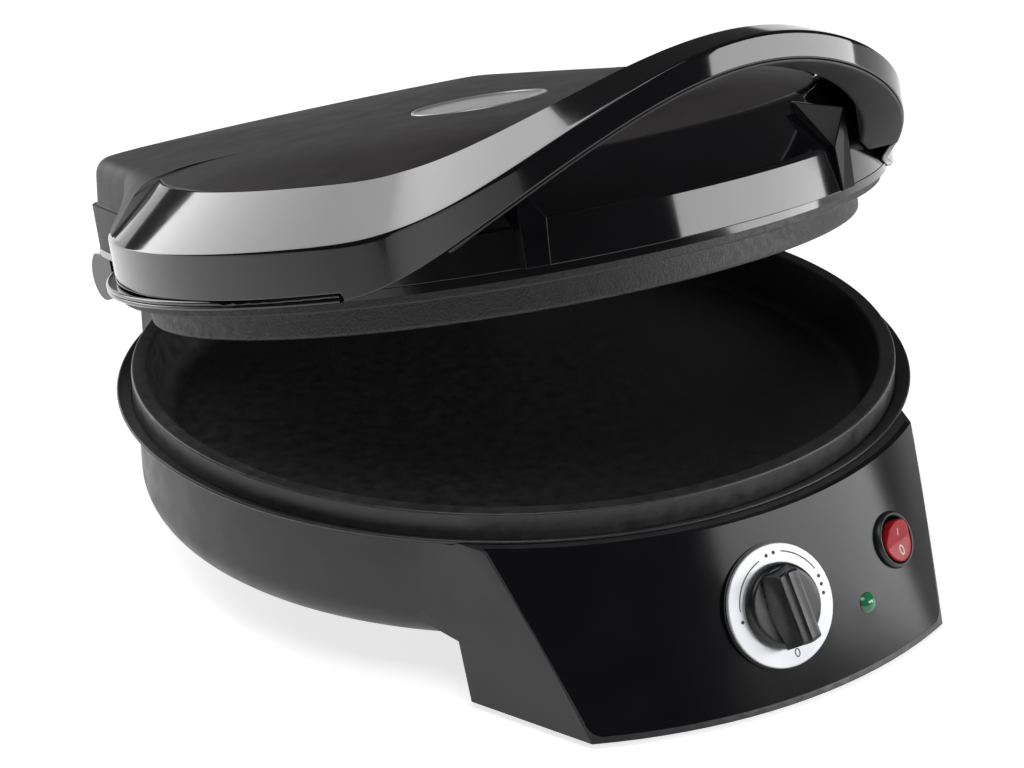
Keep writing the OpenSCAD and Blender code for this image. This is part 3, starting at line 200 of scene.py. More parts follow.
def makeFinish(name, f):
    # Two noises on Object coordinates: a broad one moves colour and roughness a little,
    # a fine one is the moulded or cast grain
    m, n, k = newMaterial(name)
    shader = n.new("ShaderNodeBsdfPrincipled")
    shader.inputs["Metallic"].default_value = f.get("metallic", 0)
    shader.inputs["Specular IOR Level"].default_value = f.get("specular", 0.5)
    shader.inputs["Coat Weight"].default_value = f.get("coat", 0)
    shader.inputs["Coat Roughness"].default_value = f.get("coatRough", 0.03)
    out = n.new("ShaderNodeOutputMaterial")
    k.new(shader.outputs[0], out.inputs["Surface"])
    where = n.new("ShaderNodeTexCoord")
    broad = n.new("ShaderNodeTexNoise")
    broad.inputs["Scale"].default_value = f["scale"]
    broad.inputs["Detail"].default_value = noise["broadDetail"]
    k.new(where.outputs["Object"], broad.inputs["Vector"])
    tint = n.new("ShaderNodeValToRGB")
    dark = [c * (1 - f["shift"]) for c in f["colour"]]
    light = [min(1, c * (1 + f["shift"])) for c in f["colour"]]
    first, last = tint.color_ramp.elements
    first.position, last.position = noise["low"], noise["high"]
    first.color, last.color = (*dark, 1), (*light, 1)
    k.new(broad.outputs["Fac"], tint.inputs["Fac"])
    k.new(tint.outputs["Color"], shader.inputs["Base Color"])
    spread = n.new("ShaderNodeMapRange")
    spread.inputs["From Min"].default_value = noise["low"]
    spread.inputs["From Max"].default_value = noise["high"]
    spread.inputs["To Min"].default_value = f["rough"] - f["roughShift"]
    spread.inputs["To Max"].default_value = f["rough"] + f["roughShift"]
    k.new(broad.outputs["Fac"], spread.inputs["Value"])
    k.new(spread.outputs["Result"], shader.inputs["Roughness"])
    if f["bump"]:
        fine = n.new("ShaderNodeTexNoise")
        fine.inputs["Scale"].default_value = f["bumpScale"]
        fine.inputs["Detail"].default_value = noise["fineDetail"]
        grain = n.new("ShaderNodeBump")
        grain.inputs["Strength"].default_value = 1
        grain.inputs["Distance"].default_value = f["bump"]
        k.new(where.outputs["Object"], fine.inputs["Vector"])
        k.new(fine.outputs["Fac"], grain.inputs["Height"])
        k.new(grain.outputs["Normal"], shader.inputs["Normal"])
    return m


finish = {name: makeFinish(name, f) for name, f in finishes.items()}

# which finish each CAD node wears
nodeFinish = {
    "satinHousing": ["base_housing", "rim_ring", "bottom_cover"],
    "fasciaBlack": ["fascia"],
    "glossBlack": ["lid_frame", "handle_cover", "front_surround", "front_panel",
        "hinge_lugs"],
    "domeSatin": ["lid_dome"], "gripMatte": ["grip_cover"], "panCoating": ["baking_pan"],
    "castPlate": ["upper_plate"],
    "brightSheet": ["lower_reflector", "upper_reflector"],
    "screwSteel": ["pan_spacers", "pan_screws", "element_clips", "cover_screws", "hinge_pins",
        "thermostat_shaft", "grip_screws", "plate_screws", "dome_screws", "upper_clips"],
    "heaterSteel": ["lower_element", "upper_element"], "dialSilver": ["dial_ring"],
    "plateSilver": ["lid_badge"], "knobBlack": ["control_knob", "switch_body"],
    "rockerRed": ["switch_rocker"], "lampGreen": ["lamp_lens"],
    "ceramicWhite": ["thermal_fuse", "lid_fuse", "lamp_holder", "terminal_block", "thermostat"],
    "brassPart": ["hinge_bushes"], "wireSleeve": ["base_wiring", "lid_wiring"],
    "rubberBlack": ["rubber_feet", "cord_gland"]}
for finishName, wearers in nodeFinish.items():
    for wearer in wearers:
        for place in nodes[wearer].material_slots:
            place.material = finish[finishName]
print("finishes made:", len(finish))

# sizes shared by the pieces, in millimetres, as in the CAD source

size = {
    # pan, ring and dish
    "panR": 163.1, "panFloorR": 155.0, "rimR": 170.4, "rimZ": 83.7, "seatZ": 72.0,
    "floorZ": 62.0, "panWall": 2.5, "ringR": 177.5, "ringZ": 75.0, "ringT": 4.5,
    "dishR": 168.5, "dishIn": 165.5, "boxTopR": 183.0, "boxLean": 24.8,
    # where the lid sits; heights on it are above its underside
    "hingeY": 195.5, "hingeZ": 77.4, "lidOpen": 15.4, "lidZ": 88.2, "frameT": 3.5,
    "frameR": 174.0, "plateR": 169.5, "flangeT": 4.2, "plugR": 158.0, "plugH": 16.5,
    # dome
    "bandH": 23.5, "bandR": 176.0, "shoulderH": 44.0, "shoulderR": 147.0, "domeRise": 9.5,
    "rearRise": 4.0, "lidRear": 200.0, "skin": 2.5, "badgeA": 31.0, "badgeB": 29.0,
    # handle; the band draws in between tuckFrom and tuckTo, and bevelTurn is how many degrees
    # the bevel's end leans
    "archReach": 41.0, "archFoot": 44.0, "archA": 54.0, "archLow": 69.0, "archTop": 80.0,
    "archIn": 82.5, "gripW": 19.0, "coverT": 3.0, "bevelEnd": 107.0, "bevelTurn": 7.0,
    "bandEnd": 130.0, "panelHw": 80.0, "tuckFrom": 60.0, "tuckTo": 105.0, "bandTuck": 5.5,
    "bevelTuck": 2.5}


def rise(v, a, b):
    # a smooth step from 0 at a to 1 at b
    t = np.clip((v - a) / (b - a), 0, 1)
    return t * t * (3 - 2 * t)


def bump(a):
    # 1 at the front, falling as a cosine to 0 where the arch leaves the lid
    a = np.abs(a)
    return np.where(a >= size["archA"], 0, (1 + np.cos(np.radians(180 * a / size["archA"]))) / 2)


def polar(r, a, h):
    # a point at radius r and height h, at angle a from the front towards the right
    r, a, h = np.broadcast_arrays(r, np.radians(a), h)
    return np.stack([r * np.sin(a), -r * np.cos(a), h], -1)


def onLid(p):
    # heights above the lid's underside, turned about the hinge by the angle the lid stands open
    t = math.radians(size["lidOpen"])
    y = p[..., 1] - size["hingeY"]
    z = p[..., 2] + size["lidZ"] - size["hingeZ"]
    return np.stack([p[..., 0], size["hingeY"] + y * math.cos(t) + z * math.sin(t),
        size["hingeZ"] - y * math.sin(t) + z * math.cos(t)], -1)


def onFront(p, angle, z):
    # x right, y up the slope and z outwards on the leaning front, at an angle from its middle
    e, a = math.radians(size["boxLean"]), math.radians(angle)
    r = size["boxTopR"] + math.tan(e) * (size["ringZ"] - z)
    up = p[..., 1] * math.cos(e) + p[..., 2] * math.sin(e) + z
    out = r + p[..., 2] * math.cos(e) - p[..., 1] * math.sin(e)
    x = p[..., 0]
    return np.stack([x * math.cos(a) + out * math.sin(a), x * math.sin(a) - out * math.cos(a),
        up], -1)


def gridFaces(rows, columns, closeRows, closeColumns):
    # the quads of a grid of points, joined round where a direction closes on itself
    i = np.arange(rows if closeRows else rows - 1)
    j = np.arange(columns if closeColumns else columns - 1)
    i, j = np.meshgrid(i, j, indexing="ij")
    n, m = (i + 1) % rows, (j + 1) % columns
    return np.stack([i * columns + j, n * columns + j, n * columns + m, i * columns + m],
        -1).reshape(-1, 4)


def roundCorners(corners, radii, steps=5):
    # Each corner of a closed section becomes a curve that starts and ends at its radius from
    # the corner (or at a share of a short side) and is pulled towards the corner: the curve is
    # (1-t)^2 A + 2t(1-t) P + t^2 B. A point is added a little before and after it to keep
    # flats flat.
    mostOfSide, guard = 0.42, 1.15
    before = np.roll(corners, 1, -2) - corners
    after = np.roll(corners, -1, -2) - corners
    lengthB = np.linalg.norm(before, axis=-1, keepdims=True)
    lengthA = np.linalg.norm(after, axis=-1, keepdims=True)
    r = np.asarray(radii, float)[..., None]
    cutB = np.minimum(r, mostOfSide * lengthB)
    cutA = np.minimum(r, mostOfSide * lengthA)
    a = corners + before / np.maximum(lengthB, 1e-9) * cutB
    b = corners + after / np.maximum(lengthA, 1e-9) * cutA
    a0 = corners + before / np.maximum(lengthB, 1e-9) * cutB * guard
    b0 = corners + after / np.maximum(lengthA, 1e-9) * cutA * guard
    t = np.linspace(0, 1, steps + 1)[:, None]
    curve = ((1 - t) ** 2 * a[..., None, :] + 2 * t * (1 - t) * corners[..., None, :]
        + t ** 2 * b[..., None, :])
    whole = np.concatenate([a0[..., None, :], curve, b0[..., None, :]], -2)
    return whole.reshape(*whole.shape[:-3], -1, whole.shape[-1])


def addPiece(name, points, faces, finishName, slotName, body, stands=(), sharp=40):
    # points in millimetres; doubles merged, faces turned outwards, smooth up to the sharp angle
    mesh = bpy.data.meshes.new(name)
    mesh.from_pydata(np.asarray(points, float) * 0.001, [], faces)
    shape = bmesh.new()
    shape.from_mesh(mesh)
    bmesh.ops.remove_doubles(shape, verts=shape.verts, dist=2e-7)
    bmesh.ops.dissolve_degenerate(shape, edges=shape.edges, dist=1e-7)
    bmesh.ops.recalc_face_normals(shape, faces=shape.faces)
    if shape.calc_volume(signed=True) < 0:
        bmesh.ops.reverse_faces(shape, faces=shape.faces)
    shape.to_mesh(mesh)
    shape.free()
    mesh.polygons.foreach_set("use_smooth", np.ones(len(mesh.polygons), bool))
    mesh.set_sharp_from_angle(angle=math.radians(sharp))
    mesh.materials.append(finish[finishName])
    obj = bpy.data.objects.new(name, mesh)
    bpy.context.scene.collection.objects.link(obj)
    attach(obj, body)
    if stands:
        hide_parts(*stands)
    return obj


def sweep(name, sections, closed, *rest, **more):
    # a solid through a row of closed sections; open rows end in fans to each end's middle
    n, m = sections.shape[:2]
    points = sections.reshape(-1, 3)
    faces = gridFaces(n, m, closed, True).tolist()
    if not closed:
        points = np.concatenate([points, sections[0].mean(0)[None], sections[-1].mean(0)[None]])
        j = np.arange(m)
        k = (j + 1) % m
        first, last = np.full(m, n * m), np.full(m, n * m + 1)
        faces += np.stack([j, k, first], -1).tolist()
        faces += np.stack([(n - 1) * m + k, (n - 1) * m + j, last], -1).tolist()
    return addPiece(name, points, faces, *rest, **more)


def turned(name, profile, radii, *rest, lid=False, steps=5, around=240, **more):
    # a closed half section (radius, height) with rounded corners, turned about the middle
    flat = roundCorners(np.asarray(profile, float), radii, steps)
    flat[:, 0] = np.maximum(flat[:, 0], 0)
    a = np.arange(around) * 360 / around
    points = polar(flat[None, :, 0], a[:, None], flat[None, :, 1])
    return sweep(name, onLid(points) if lid else points, True, *rest, **more)


# baking pan, rim ring and upper plate

pan = {"lip": 1.2, "floorRound": 5.0, "skirtT": 2.0}
rim = {"spigotIn": 2.4, "spigotOut": 0.2, "spigotH": 6, "underIn": 2, "underUp": 1.5,
    "edgeH": 1.0, "topIn": 0.8, "seatOut": 0.3, "slopeOut": 0.6, "slopeUp": 0.5}
plate = {"ribIn": 7.5, "ribOut": 5.5, "floorLow": 3.5, "floorHigh": 6.0, "wall": 3.5,
    "mouthIn": 10.0}


def makePan(p):
    # a flat floor, a wall that slopes out to a flat rim, and a skirt that hangs from the rim
    s = size
    w, k = s["panWall"], p["skirtT"]
    profile = [[0, s["floorZ"] - w], [s["panFloorR"] + 1, s["floorZ"] - w],
        [s["panR"] + w, s["rimZ"] - w], [s["rimR"] - k, s["rimZ"] - w],
        [s["rimR"] - k, s["seatZ"]], [s["rimR"], s["seatZ"]], [s["rimR"], s["rimZ"]],
        [s["panR"], s["rimZ"]], [s["panFloorR"], s["floorZ"]], [0, s["floorZ"]]]
    radii = [0.01, 2, 1, 0.6, 0.5, 0.5, p["lip"], p["lip"], p["floorRound"], 0.01]
    turned("panCast", profile, radii, "panCoating", "pan", "base", stands=["baking_pan"])


def makeRim(m):
    # a flat seat for the pan's skirt, a low slope out from it and a spigot down into the dish
    s = size
    inner, outer = s["dishIn"] - m["spigotIn"], s["dishIn"] - m["spigotOut"]
    foot, under = s["seatZ"] - m["spigotH"], s["ringZ"] - s["ringT"]
    profile = [[inner, foot], [outer, foot], [outer, under], [s["dishR"] + 1, under],
        [s["ringR"] - m["underIn"], under + m["underUp"]], [s["ringR"], s["ringZ"] - m["edgeH"]],
        [s["ringR"] - m["topIn"], s["ringZ"]],
        [s["rimR"] + m["slopeOut"], s["seatZ"] + m["slopeUp"]],
        [s["rimR"] + m["seatOut"], s["seatZ"]], [inner, s["seatZ"]]]
    turned("rimTurned", profile, [0.4, 0.4, 0.4, 0.6, 1.6, 0.7, 0.7, 0.5, 0.2, 0.4],
        "satinHousing", "housing", "base", stands=["rim_ring"], around=300)


def makeUpperPlate(p):
    # a plug that goes down into the pan, with a low rib round its face and a flange above
    s = size
    h, f, r = -s["plugH"], -s["flangeT"], s["plugR"]
    profile = [[0, h + p["floorLow"]], [r - p["ribIn"], h + p["floorLow"]],
        [r - p["ribOut"], h], [r, h], [r, f], [s["plateR"], f], [s["plateR"], -0.05],
        [r - p["mouthIn"], -0.05], [r - p["wall"], f], [r - p["wall"], h + p["floorHigh"]],
        [0, h + p["floorHigh"]]]
    turned("upperCast", profile, [0.01, 1.2, 1.2, 1.6, 0.8, 1.0, 0.6, 0.4, 0.6, 0.8, 0.01],
        "castPlate", "pan", "lid", stands=["upper_plate"], lid=True)


makePan(pan)
makeRim(rim)
makeUpperPlate(plate)
print("pan, rim and upper plate turned")

# lid: edges that the dome and the handle share


def tuck(a):
    # how far along its drawing in the band is at angle a: 0 beside the arch, 1 towards the rear
    return rise(np.abs(a), size["tuckFrom"], size["tuckTo"])


def archOut(a):
    # the band's radius; near the front it stands out by reach (1 - (a / foot)^3)^1.6
    a, foot = np.abs(a), size["archFoot"]
    reach = size["archReach"] * np.maximum(0, 1 - (a / foot) ** 3) ** 1.6
    return size["bandR"] + np.where(a < foot, reach, 0) - size["bandTuck"] * tuck(a)


def lowH(a):
    # the band's lower edge follows the bump under the arch, and the lid's frame elsewhere
    return np.where(np.abs(a) > size["archA"] - 3, size["frameT"] + 0.6,
        size["archLow"] * bump(a) + 0.3)


def topH(a):
    # where the band meets the bevel: it rises as the bump to the power 1.25
    return size["bandH"] + (size["archTop"] - size["bandH"]) * bump(a) ** 1.25


def bevelW(a):
    # the bevel's width, from the band in to its inner edge: narrowest on the grip
    w = size["bandR"] - size["shoulderR"]
    return w - (w - size["gripW"]) * bump(a) - size["bevelTuck"] * tuck(a)


def innerH(a):
    # the height of the bevel's inner edge: it rises as the bump to the power 1.3
    return size["shoulderH"] + (size["archIn"] - size["shoulderH"]) * bump(a) ** 1.3


def bevelIn(a):
    # just inside the bevel, and at the shoulder where the arch carries the bevel away
    a = np.minimum(np.abs(a), size["bevelEnd"])
    return np.minimum(size["shoulderR"], archOut(a) - bevelW(a)) - 0.5


# lid: dome

# The rear block stands footSide to each side at the foot, leaning in by sideLean and rearLean
# up to the shoulder, where it stands shoulderSide to each side and shoulderRear inside the rear;
# its side planes face sideA from the back. rimShare is where the shoulder ends, as a share of
# the outline, and blendFrom is where the outline inside it is fully smooth.
dome = {"kneeRound": 8.0, "creaseRound": 0.8, "around": 480, "topRings": 20,
    "footSide": 150.3, "shoulderSide": 143.4, "sideA": 77.5, "sideLean": 3.9, "rearLean": 13.0,
    "shoulderRear": 16.0, "blockPower": 40.0, "kneeShare": 0.97, "kneeLow": 42.4,
    "rimShare": 0.93, "rimTurn": 6.9, "topSpan": 0.6, "blendFrom": 0.76, "recess": 1.8,
    "turnSpan": 26}


def blockOut(p, side, sideA, rear):
    # radius at angle p from the back where a side plane and the rear plane meet, softened:
    # (s^-n + b^-n)^(-1/n)
    p, n = np.abs(p), dome["blockPower"]
    s = side / np.cos(np.radians(np.minimum(0, p - sideA)))
    b = rear / np.maximum(0.05, np.cos(np.radians(p)))
    return (s ** -n + b ** -n) ** (-1 / n)


def flankOut(p, u):
    # the dome's flank at angle p from the back and share u of the shoulder's height: the larger
    # of a cone and the rear block; beside the handle's bevel it stays just inside the bevel
    s, d = size, dome
    a = 180 - np.abs(p)
    above = np.maximum(0, (u * s["shoulderH"] - s["bandH"]) / (s["shoulderH"] - s["bandH"]))
    cone = s["bandR"] - 6 - (s["bandR"] - 10 - s["shoulderR"]) * above
    block = blockOut(p, d["footSide"] - d["sideLean"] * u, d["sideA"],
        s["lidRear"] - d["rearLean"] * u)
    bevelTo = s["bevelEnd"] + 1 + s["bevelTurn"] * above
    return np.where(a < bevelTo, bevelIn(a), np.maximum(cone, block))


def footOut(p):
    # under the band the wall stands inside it
    a = 180 - np.abs(p)
    inBand = np.where(a < size["bevelEnd"] + 1, bevelIn(a), archOut(a) - size["coverT"] - 1.1)
    return np.where(a < size["bandEnd"] + 2, inBand, flankOut(p, 0.1))


def shoulderArc(p):
    # an arc whose centre is a distance c behind the middle: c cos p + sqrt(r^2 - (c sin p)^2)
    c = 10
    k = c * np.cos(np.radians(p))
    return k + np.sqrt(k * k + (size["shoulderR"] - 2) ** 2 - c * c) - 1


def shoulderBlock(p):
    d = dome
    return blockOut(p, d["shoulderSide"], d["sideA"], size["lidRear"] - d["shoulderRear"])


def shoulderOut(p):
    # the shoulder: inside the bevel beside the handle, the larger of arc and block behind it
    a = 180 - np.abs(p)
    return np.where(a < size["bevelEnd"] + 8, np.minimum(shoulderArc(p), bevelIn(a)),
        np.maximum(shoulderArc(p), shoulderBlock(p)))


def topSmooth(p):
    # the outline that the rings on top follow, without the shoulder's step at the bevel's end
    return np.maximum(shoulderArc(p) - 2, shoulderBlock(p))


def badgeOut(p, grow):
    # radius of the oval plate's outline at angle p from the back
    p = np.radians(p)
    return 1 / np.sqrt((np.sin(p) / (size["badgeA"] + grow)) ** 2
        + (np.cos(p) / (size["badgeB"] + grow)) ** 2)


def crown(p):
    # how much higher the shoulder is at angle p: most in the middle of the rear edge, falling
    # as (1 - x^2)^0.7 to its ends
    x = shoulderOut(p) * np.sin(np.radians(p)) / dome["shoulderSide"]
    return np.where(np.abs(p) > 90, 0, size["rearRise"] * np.clip(1 - x * x, 0, 1) ** 0.7
        * rise(np.cos(np.radians(p)), 0, 0.35))


def topAt(p, q):
    # height over share q of the outline: the middle's height less a fall that grows as q^4
    return size["shoulderH"] + size["domeRise"] - (size["domeRise"] - crown(p)) * q ** 4


def domeH(r, p):
    # the dome's height at radius r, well inside the shoulder
    return topAt(p, r / topSmooth(p))


def makeDome(d):
    # Each column is a row of (radius, height, lean): up the flank, round the shoulder, over the
    # top to the oval plate's recess, and back inside. The bevel's end leans, so the columns
    # near it turn further from it the higher they go.
    s, turn, rimShare = size, size["bevelTurn"], d["rimShare"]
    e = s["bevelEnd"] + 1
    a = np.linspace(0, 180, d["around"] // 2 + 1)[1:-1]
    a = a[(np.abs(a - e) > 0.3) & (np.abs(a - s["bandEnd"] - 2) > 0.3)]
    a = np.sort(np.concatenate([a, [e - 0.03, e + 0.03, s["bandEnd"] + 1.97,
        s["bandEnd"] + 2.03]]))
    p = 180 - np.concatenate([[0], a, [180], 360 - a[::-1]])
    side = np.sign(p) + (p == 0)
    far = d["turnSpan"]
    near = np.interp(180 - np.abs(p), [e - far, e - 0.03, e + 0.03, e + far], [0, 1, 1, 0])

    def at(lean):
        # the angles of the columns at a row that leans by so many degrees
        return side * (np.abs(p) - lean * near)
    kneeUp = (d["kneeShare"] * s["shoulderH"] - s["bandH"]) / (s["shoulderH"] - s["bandH"])
    kneeTurn = turn * kneeUp
    kneeR, topR = flankOut(at(kneeTurn), d["kneeShare"]), shoulderOut(at(turn))
    kneeR = np.maximum(kneeR, topR)
    kneeH = np.maximum(topAt(p, kneeR / topR), d["kneeLow"] + crown(p))
    low = flankOut(at(0.5), (s["bandH"] + 0.5) / s["shoulderH"])
    foot = footOut(p)
    flat = np.zeros_like(p)

    def row(r, h, lean):
        return np.stack([r, h + flat, lean + flat], -1)
    rows = [row(foot, s["frameT"], 0), row(foot, s["bandH"] + 1.1, 0),
        row(low, s["bandH"] + 1.4, 0.5), row(kneeR, kneeH, kneeTurn),
        row(rimShare * topR, topAt(p, rimShare), d["rimTurn"])]
    t = np.linspace(0, 1, 9)[:, None]

    def curve(i, cut):
        # row i as a rounded corner between the rows before and after it
        a, b, c = rows[i - 1], rows[i], rows[i + 1]
        ab = np.linalg.norm((a - b)[:, :2], axis=-1, keepdims=True)
        cb = np.linalg.norm((c - b)[:, :2], axis=-1, keepdims=True)
        cut = (cut + flat)[:, None]
        u = b + (a - b) * np.minimum(0.45, cut / np.maximum(ab, 1e-6))
        v = b + (c - b) * np.minimum(0.45, cut / np.maximum(cb, 1e-6))
        return (1 - t) ** 2 * u[:, None] + 2 * t * (1 - t) * b[:, None] + t ** 2 * v[:, None]
    inBevel = 180 - np.abs(p) < e
    knee = curve(3, np.where(inBevel, d["creaseRound"], d["kneeRound"]))
    w = np.linspace(0, 1, d["topRings"]) ** 0.8
    rim = badgeOut(p, 0.5)
    share = rise(rimShare - w * d["topSpan"], d["blendFrom"], rimShare)
    edge = (topR[:, None] * share + topSmooth(p)[:, None] * (1 - share))
    r = rimShare * edge + (rim[:, None] - rimShare * edge) * w
    over = np.stack([r, topAt(p[:, None], r / edge), d["rimTurn"] * share + 0 * r], -1)
    # the recess under the oval plate, from its soft lip down to its floor
    floorH = s["shoulderH"] + s["domeRise"] - d["recess"]
    lip = over[:, -1, 1]
    hole = np.stack([row(badgeOut(p, 0.22), lip - 0.12, 0), row(badgeOut(p, 0.15), lip - 0.4, 0),
        row(badgeOut(p, 0.15), floorH, 0), row(badgeOut(p, 0.15) * 0.5, floorH, 0),
        row(flat, floorH, 0)], 1)
    outer = np.concatenate([rows[0][:, None], curve(1, 0.3), curve(2, 1.0), knee, over], 1)
    # the inside is set in by the skin, and set down by it from the band up
    inner = outer[:, ::-1].copy()
    inner[..., 0] = np.maximum(inner[..., 0] - s["skin"], 0)
    inner[..., 1] -= s["skin"] * rise(inner[..., 1], 20, 42)
    pole = row(flat, s["shoulderH"] + s["domeRise"] - s["skin"], 0)[:, None]
    both = np.concatenate([outer, hole, pole, inner], 1)
    angle = 180 - side[:, None] * (np.abs(p)[:, None] - both[..., 2] * near[:, None])
    points = onLid(polar(both[..., 0], angle, both[..., 1]))
    sweep("domeShell", points, True, "domeSatin", "dome", "lid", stands=["lid_dome"], sharp=50)


badge = {"border": 1.5, "proud": 0.45, "around": 180, "sink": 1.75, "fieldIn": 0.6,
    "fieldDown": 0.62}


def makeBadge(b):
    # rows run in from the oval's edge and follow the dome's height there; a raised border with
    # soft edges stands round a plain field
    p = np.arange(b["around"]) * 360 / b["around"] - 180
    floorH = size["shoulderH"] + size["domeRise"] - b["sink"]
    w, up = b["border"], b["proud"]
    inner, field = w + b["fieldIn"], up - b["fieldDown"]
    # each step is how far in from the edge and how far above the dome
    steps = [(0, None), (0, -0.1), (0.12, up - 0.18), (0.4, up), (w - 0.35, up),
        (w, up - 0.12), (w + 0.3, up - 0.5), (inner, field)]
    rows = []
    for inward, above in steps:
        r = badgeOut(p, -inward)
        rows.append(polar(r, 180 - p, floorH + 0 * r if above is None else domeH(r, p) + above))
    for share in (0.75, 0.5, 0.25, 0):
        r = badgeOut(p, -inner) * share
        rows.append(polar(r, 180 - p, domeH(r, p) + field))
    rows.append(polar(0 * p, 180 - p, floorH))
    sweep("badgePlate", onLid(np.stack(rows, 1)), True, "plateSilver", "silver", "lid",
        stands=["lid_badge"], sharp=60)


makeBadge(badge)
makeDome(dome)
print("dome shaped")

# lid: handle

handle = {"edgeRound": 1.6, "endFacet": 1.5, "endSink": 3.2, "turnOver": 12, "gripEnd": 36,
    "gripGap": 0.2}


def makeHandle(h):
    # A section of eight corners is carried round the lid: outer face, bevel, inner edge and the
    # same set back by the wall; behind the bevel's end only the wall goes on
    s = size
    end = s["bevelEnd"]
    one = np.concatenate([np.arange(s["archA"] + 3, end - 1, 1.2), np.arange(end - 1, end, 0.5),
        [end, end + h["endFacet"], end + h["endFacet"] + 0.05],
        np.arange(end + 2.5, s["bandEnd"] + 0.1, 1.5)])
    a = np.concatenate([-one[::-1], np.arange(-s["archA"] - 2.4, s["archA"] + 2.5, 0.6), one])
    past = np.abs(a) > end + h["endFacet"] + 0.01
    sunk = np.where((np.abs(a) > end + 0.1) & ~past, h["endSink"], 0)
    r, t = archOut(a), s["coverT"]
    ri = np.where(past, r - t - 0.6, r - bevelW(a)) - sunk * 0.6
    hi = np.where(past, s["bandH"] + 1, innerH(a)) - sunk * 0.8
    lean = s["bevelTurn"] * rise(np.abs(a), end - h["turnOver"], end)
    skew = np.where(past, 0, lean) * np.sign(a)
    lo, ho = lowH(a), topH(a)
    corners = np.stack([polar(r, a, lo), polar(r, a, ho - 0.4), polar(r - 0.7, a, ho + 0.2),
        polar(ri, a + skew, hi), polar(ri, a + skew, hi - t * 0.8),
        polar(r - t - 0.5, a, ho - t * 0.8), polar(r - t, a, ho - t - 0.6),
        polar(r - t, a, lo)], -2)
    e = h["edgeRound"]
    sections = roundCorners(corners, [0.8, e, e, 1.0, 0.5, 0.5, 0.5, 0.4])
    sweep("handleShell", onLid(sections), False, "glossBlack", "gloss", "lid",
        stands=["handle_cover"], sharp=35)


def underH(a, r):
    # height of the grip's top at radius r, just under the cover's bevel
    t = size["coverT"]
    slope = (innerH(a) - topH(a)) / (bevelW(a) - t - 0.5)
    return topH(a) - 0.8 * t - 1.1 + slope * np.maximum(0, archOut(a) - t - 0.5 - r)


def makeGrip(h):
    # the lower half of the handle: the section follows the cover's inside and closes below
    a = np.arange(-h["gripEnd"], h["gripEnd"] + 0.1, 0.5)
    b = bump(a)
    r, t = archOut(a), size["coverT"] + h["gripGap"]
    il = np.maximum(size["bandR"] - 2.9, r - size["gripW"] - 0.5)
    lo = size["archLow"] * b + 0.3
    hl = (size["archLow"] - 2.5) * b ** 1.1 + 0.5
    corners = np.stack([polar(r - 0.8, a, lo - 1.4), polar(r - 0.8, a, lo - 0.25),
        polar(r - t, a, lo - 0.25), polar(r - t, a, np.maximum(lo + 0.2, underH(a, r - t))),
        polar(il + 0.3, a, np.maximum(hl + 0.8, underH(a, il + 0.3))),
        polar(il, a, hl + 0.6), polar(il, a, hl), polar(il + 1, a, hl - 0.5)], -2)
    sections = roundCorners(corners, [0.9, 0.4, 0.3, 0.4, 1.0, 0.8, 0.8, 1.2])
    sweep("gripShell", onLid(sections), False, "gripMatte", "grip", "lid",
        stands=["grip_cover"], sharp=40)


makeHandle(handle)
makeGrip(handle)
print("handle swept")

# lid: the wall and the panel between the handle's legs

front = {"edge": 1.2, "lowerTop": 22.0, "upperTop": 42.5, "pillarRound": 0.7, "wallEnd": 52,
    # the right pillar's corners as (x, y, height)
    "pillar": ((80.0, -157.0, 3.5), (80.0, -157.2, 37.1), (75.2, -158.9, 3.5),
        (73.4, -159.8, 24.4), (71.6, -160.6, 3.5), (70.2, -161.0, 22.4), (66, -143.0, 41.6),
        (66, -138.0, 3.5), (80.0, -133.0, 3.5), (80.0, -134.0, 37.1), (67.5, -139.0, 41.6))}


def makeFrontPanel(f):
    # each corner of the half section keeps its radius while x runs from one end to the other
    s = size
    r, e = s["bandR"] - 0.8, f["edge"]
    flat = roundCorners(np.array([[s["shoulderR"] + 0.8, s["frameT"]], [r, s["frameT"]],
        [r - 2.5, f["lowerTop"]], [s["shoulderR"] + 4, f["upperTop"]],
        [s["shoulderR"] + 0.8, f["upperTop"] + 0.5]]), [0.4, 0.5, e, e, 0.4])
    x = np.linspace(-1, 1, 121)[:, None] * s["panelHw"]
    y = -np.sqrt(flat[None, :, 0] ** 2 - x ** 2)
    points = np.stack([x + 0 * y, y, flat[None, :, 1] + 0 * y], -1)
    sweep("panelFacets", onLid(points), False, "glossBlack", "gloss", "lid",
        stands=["front_panel"], sharp=30)


def roundedHull(name, spots, radius, place, *rest, **more):
    # the hull of a small ball at each corner of a solid, so that its edges come out round and
    # its faces flat; place() then takes it to where it belongs
    ball = bmesh.new()
    bmesh.ops.create_icosphere(ball, subdivisions=3, radius=radius)
    shell = np.array([v.co[:] for v in ball.verts])
    ball.free()
    spots = np.asarray(spots, float)
    inwards = spots.mean(0) - spots
    spots = spots + inwards / np.linalg.norm(inwards, axis=1, keepdims=True) * radius * 1.2
    shape = bmesh.new()
    for point in (spots[:, None] + shell[None]).reshape(-1, 3):
        shape.verts.new(point)
    bmesh.ops.convex_hull(shape, input=shape.verts)
    loose = [v for v in shape.verts if not v.link_faces]
    bmesh.ops.delete(shape, geom=loose, context="VERTS")
    bmesh.ops.dissolve_limit(shape, angle_limit=0.01, verts=shape.verts, edges=shape.edges)
    shape.verts.index_update()
    points = place(np.array([v.co[:] for v in shape.verts]))
    faces = [[v.index for v in face.verts] for face in shape.faces]
    shape.free()
    obj = addPiece(name, points, faces, *rest, **more)
    big = [face.area > 6 * (radius * 0.001) ** 2 for face in obj.data.polygons]
    obj.data.polygons.foreach_set("use_smooth", ~np.array(big))
    return obj


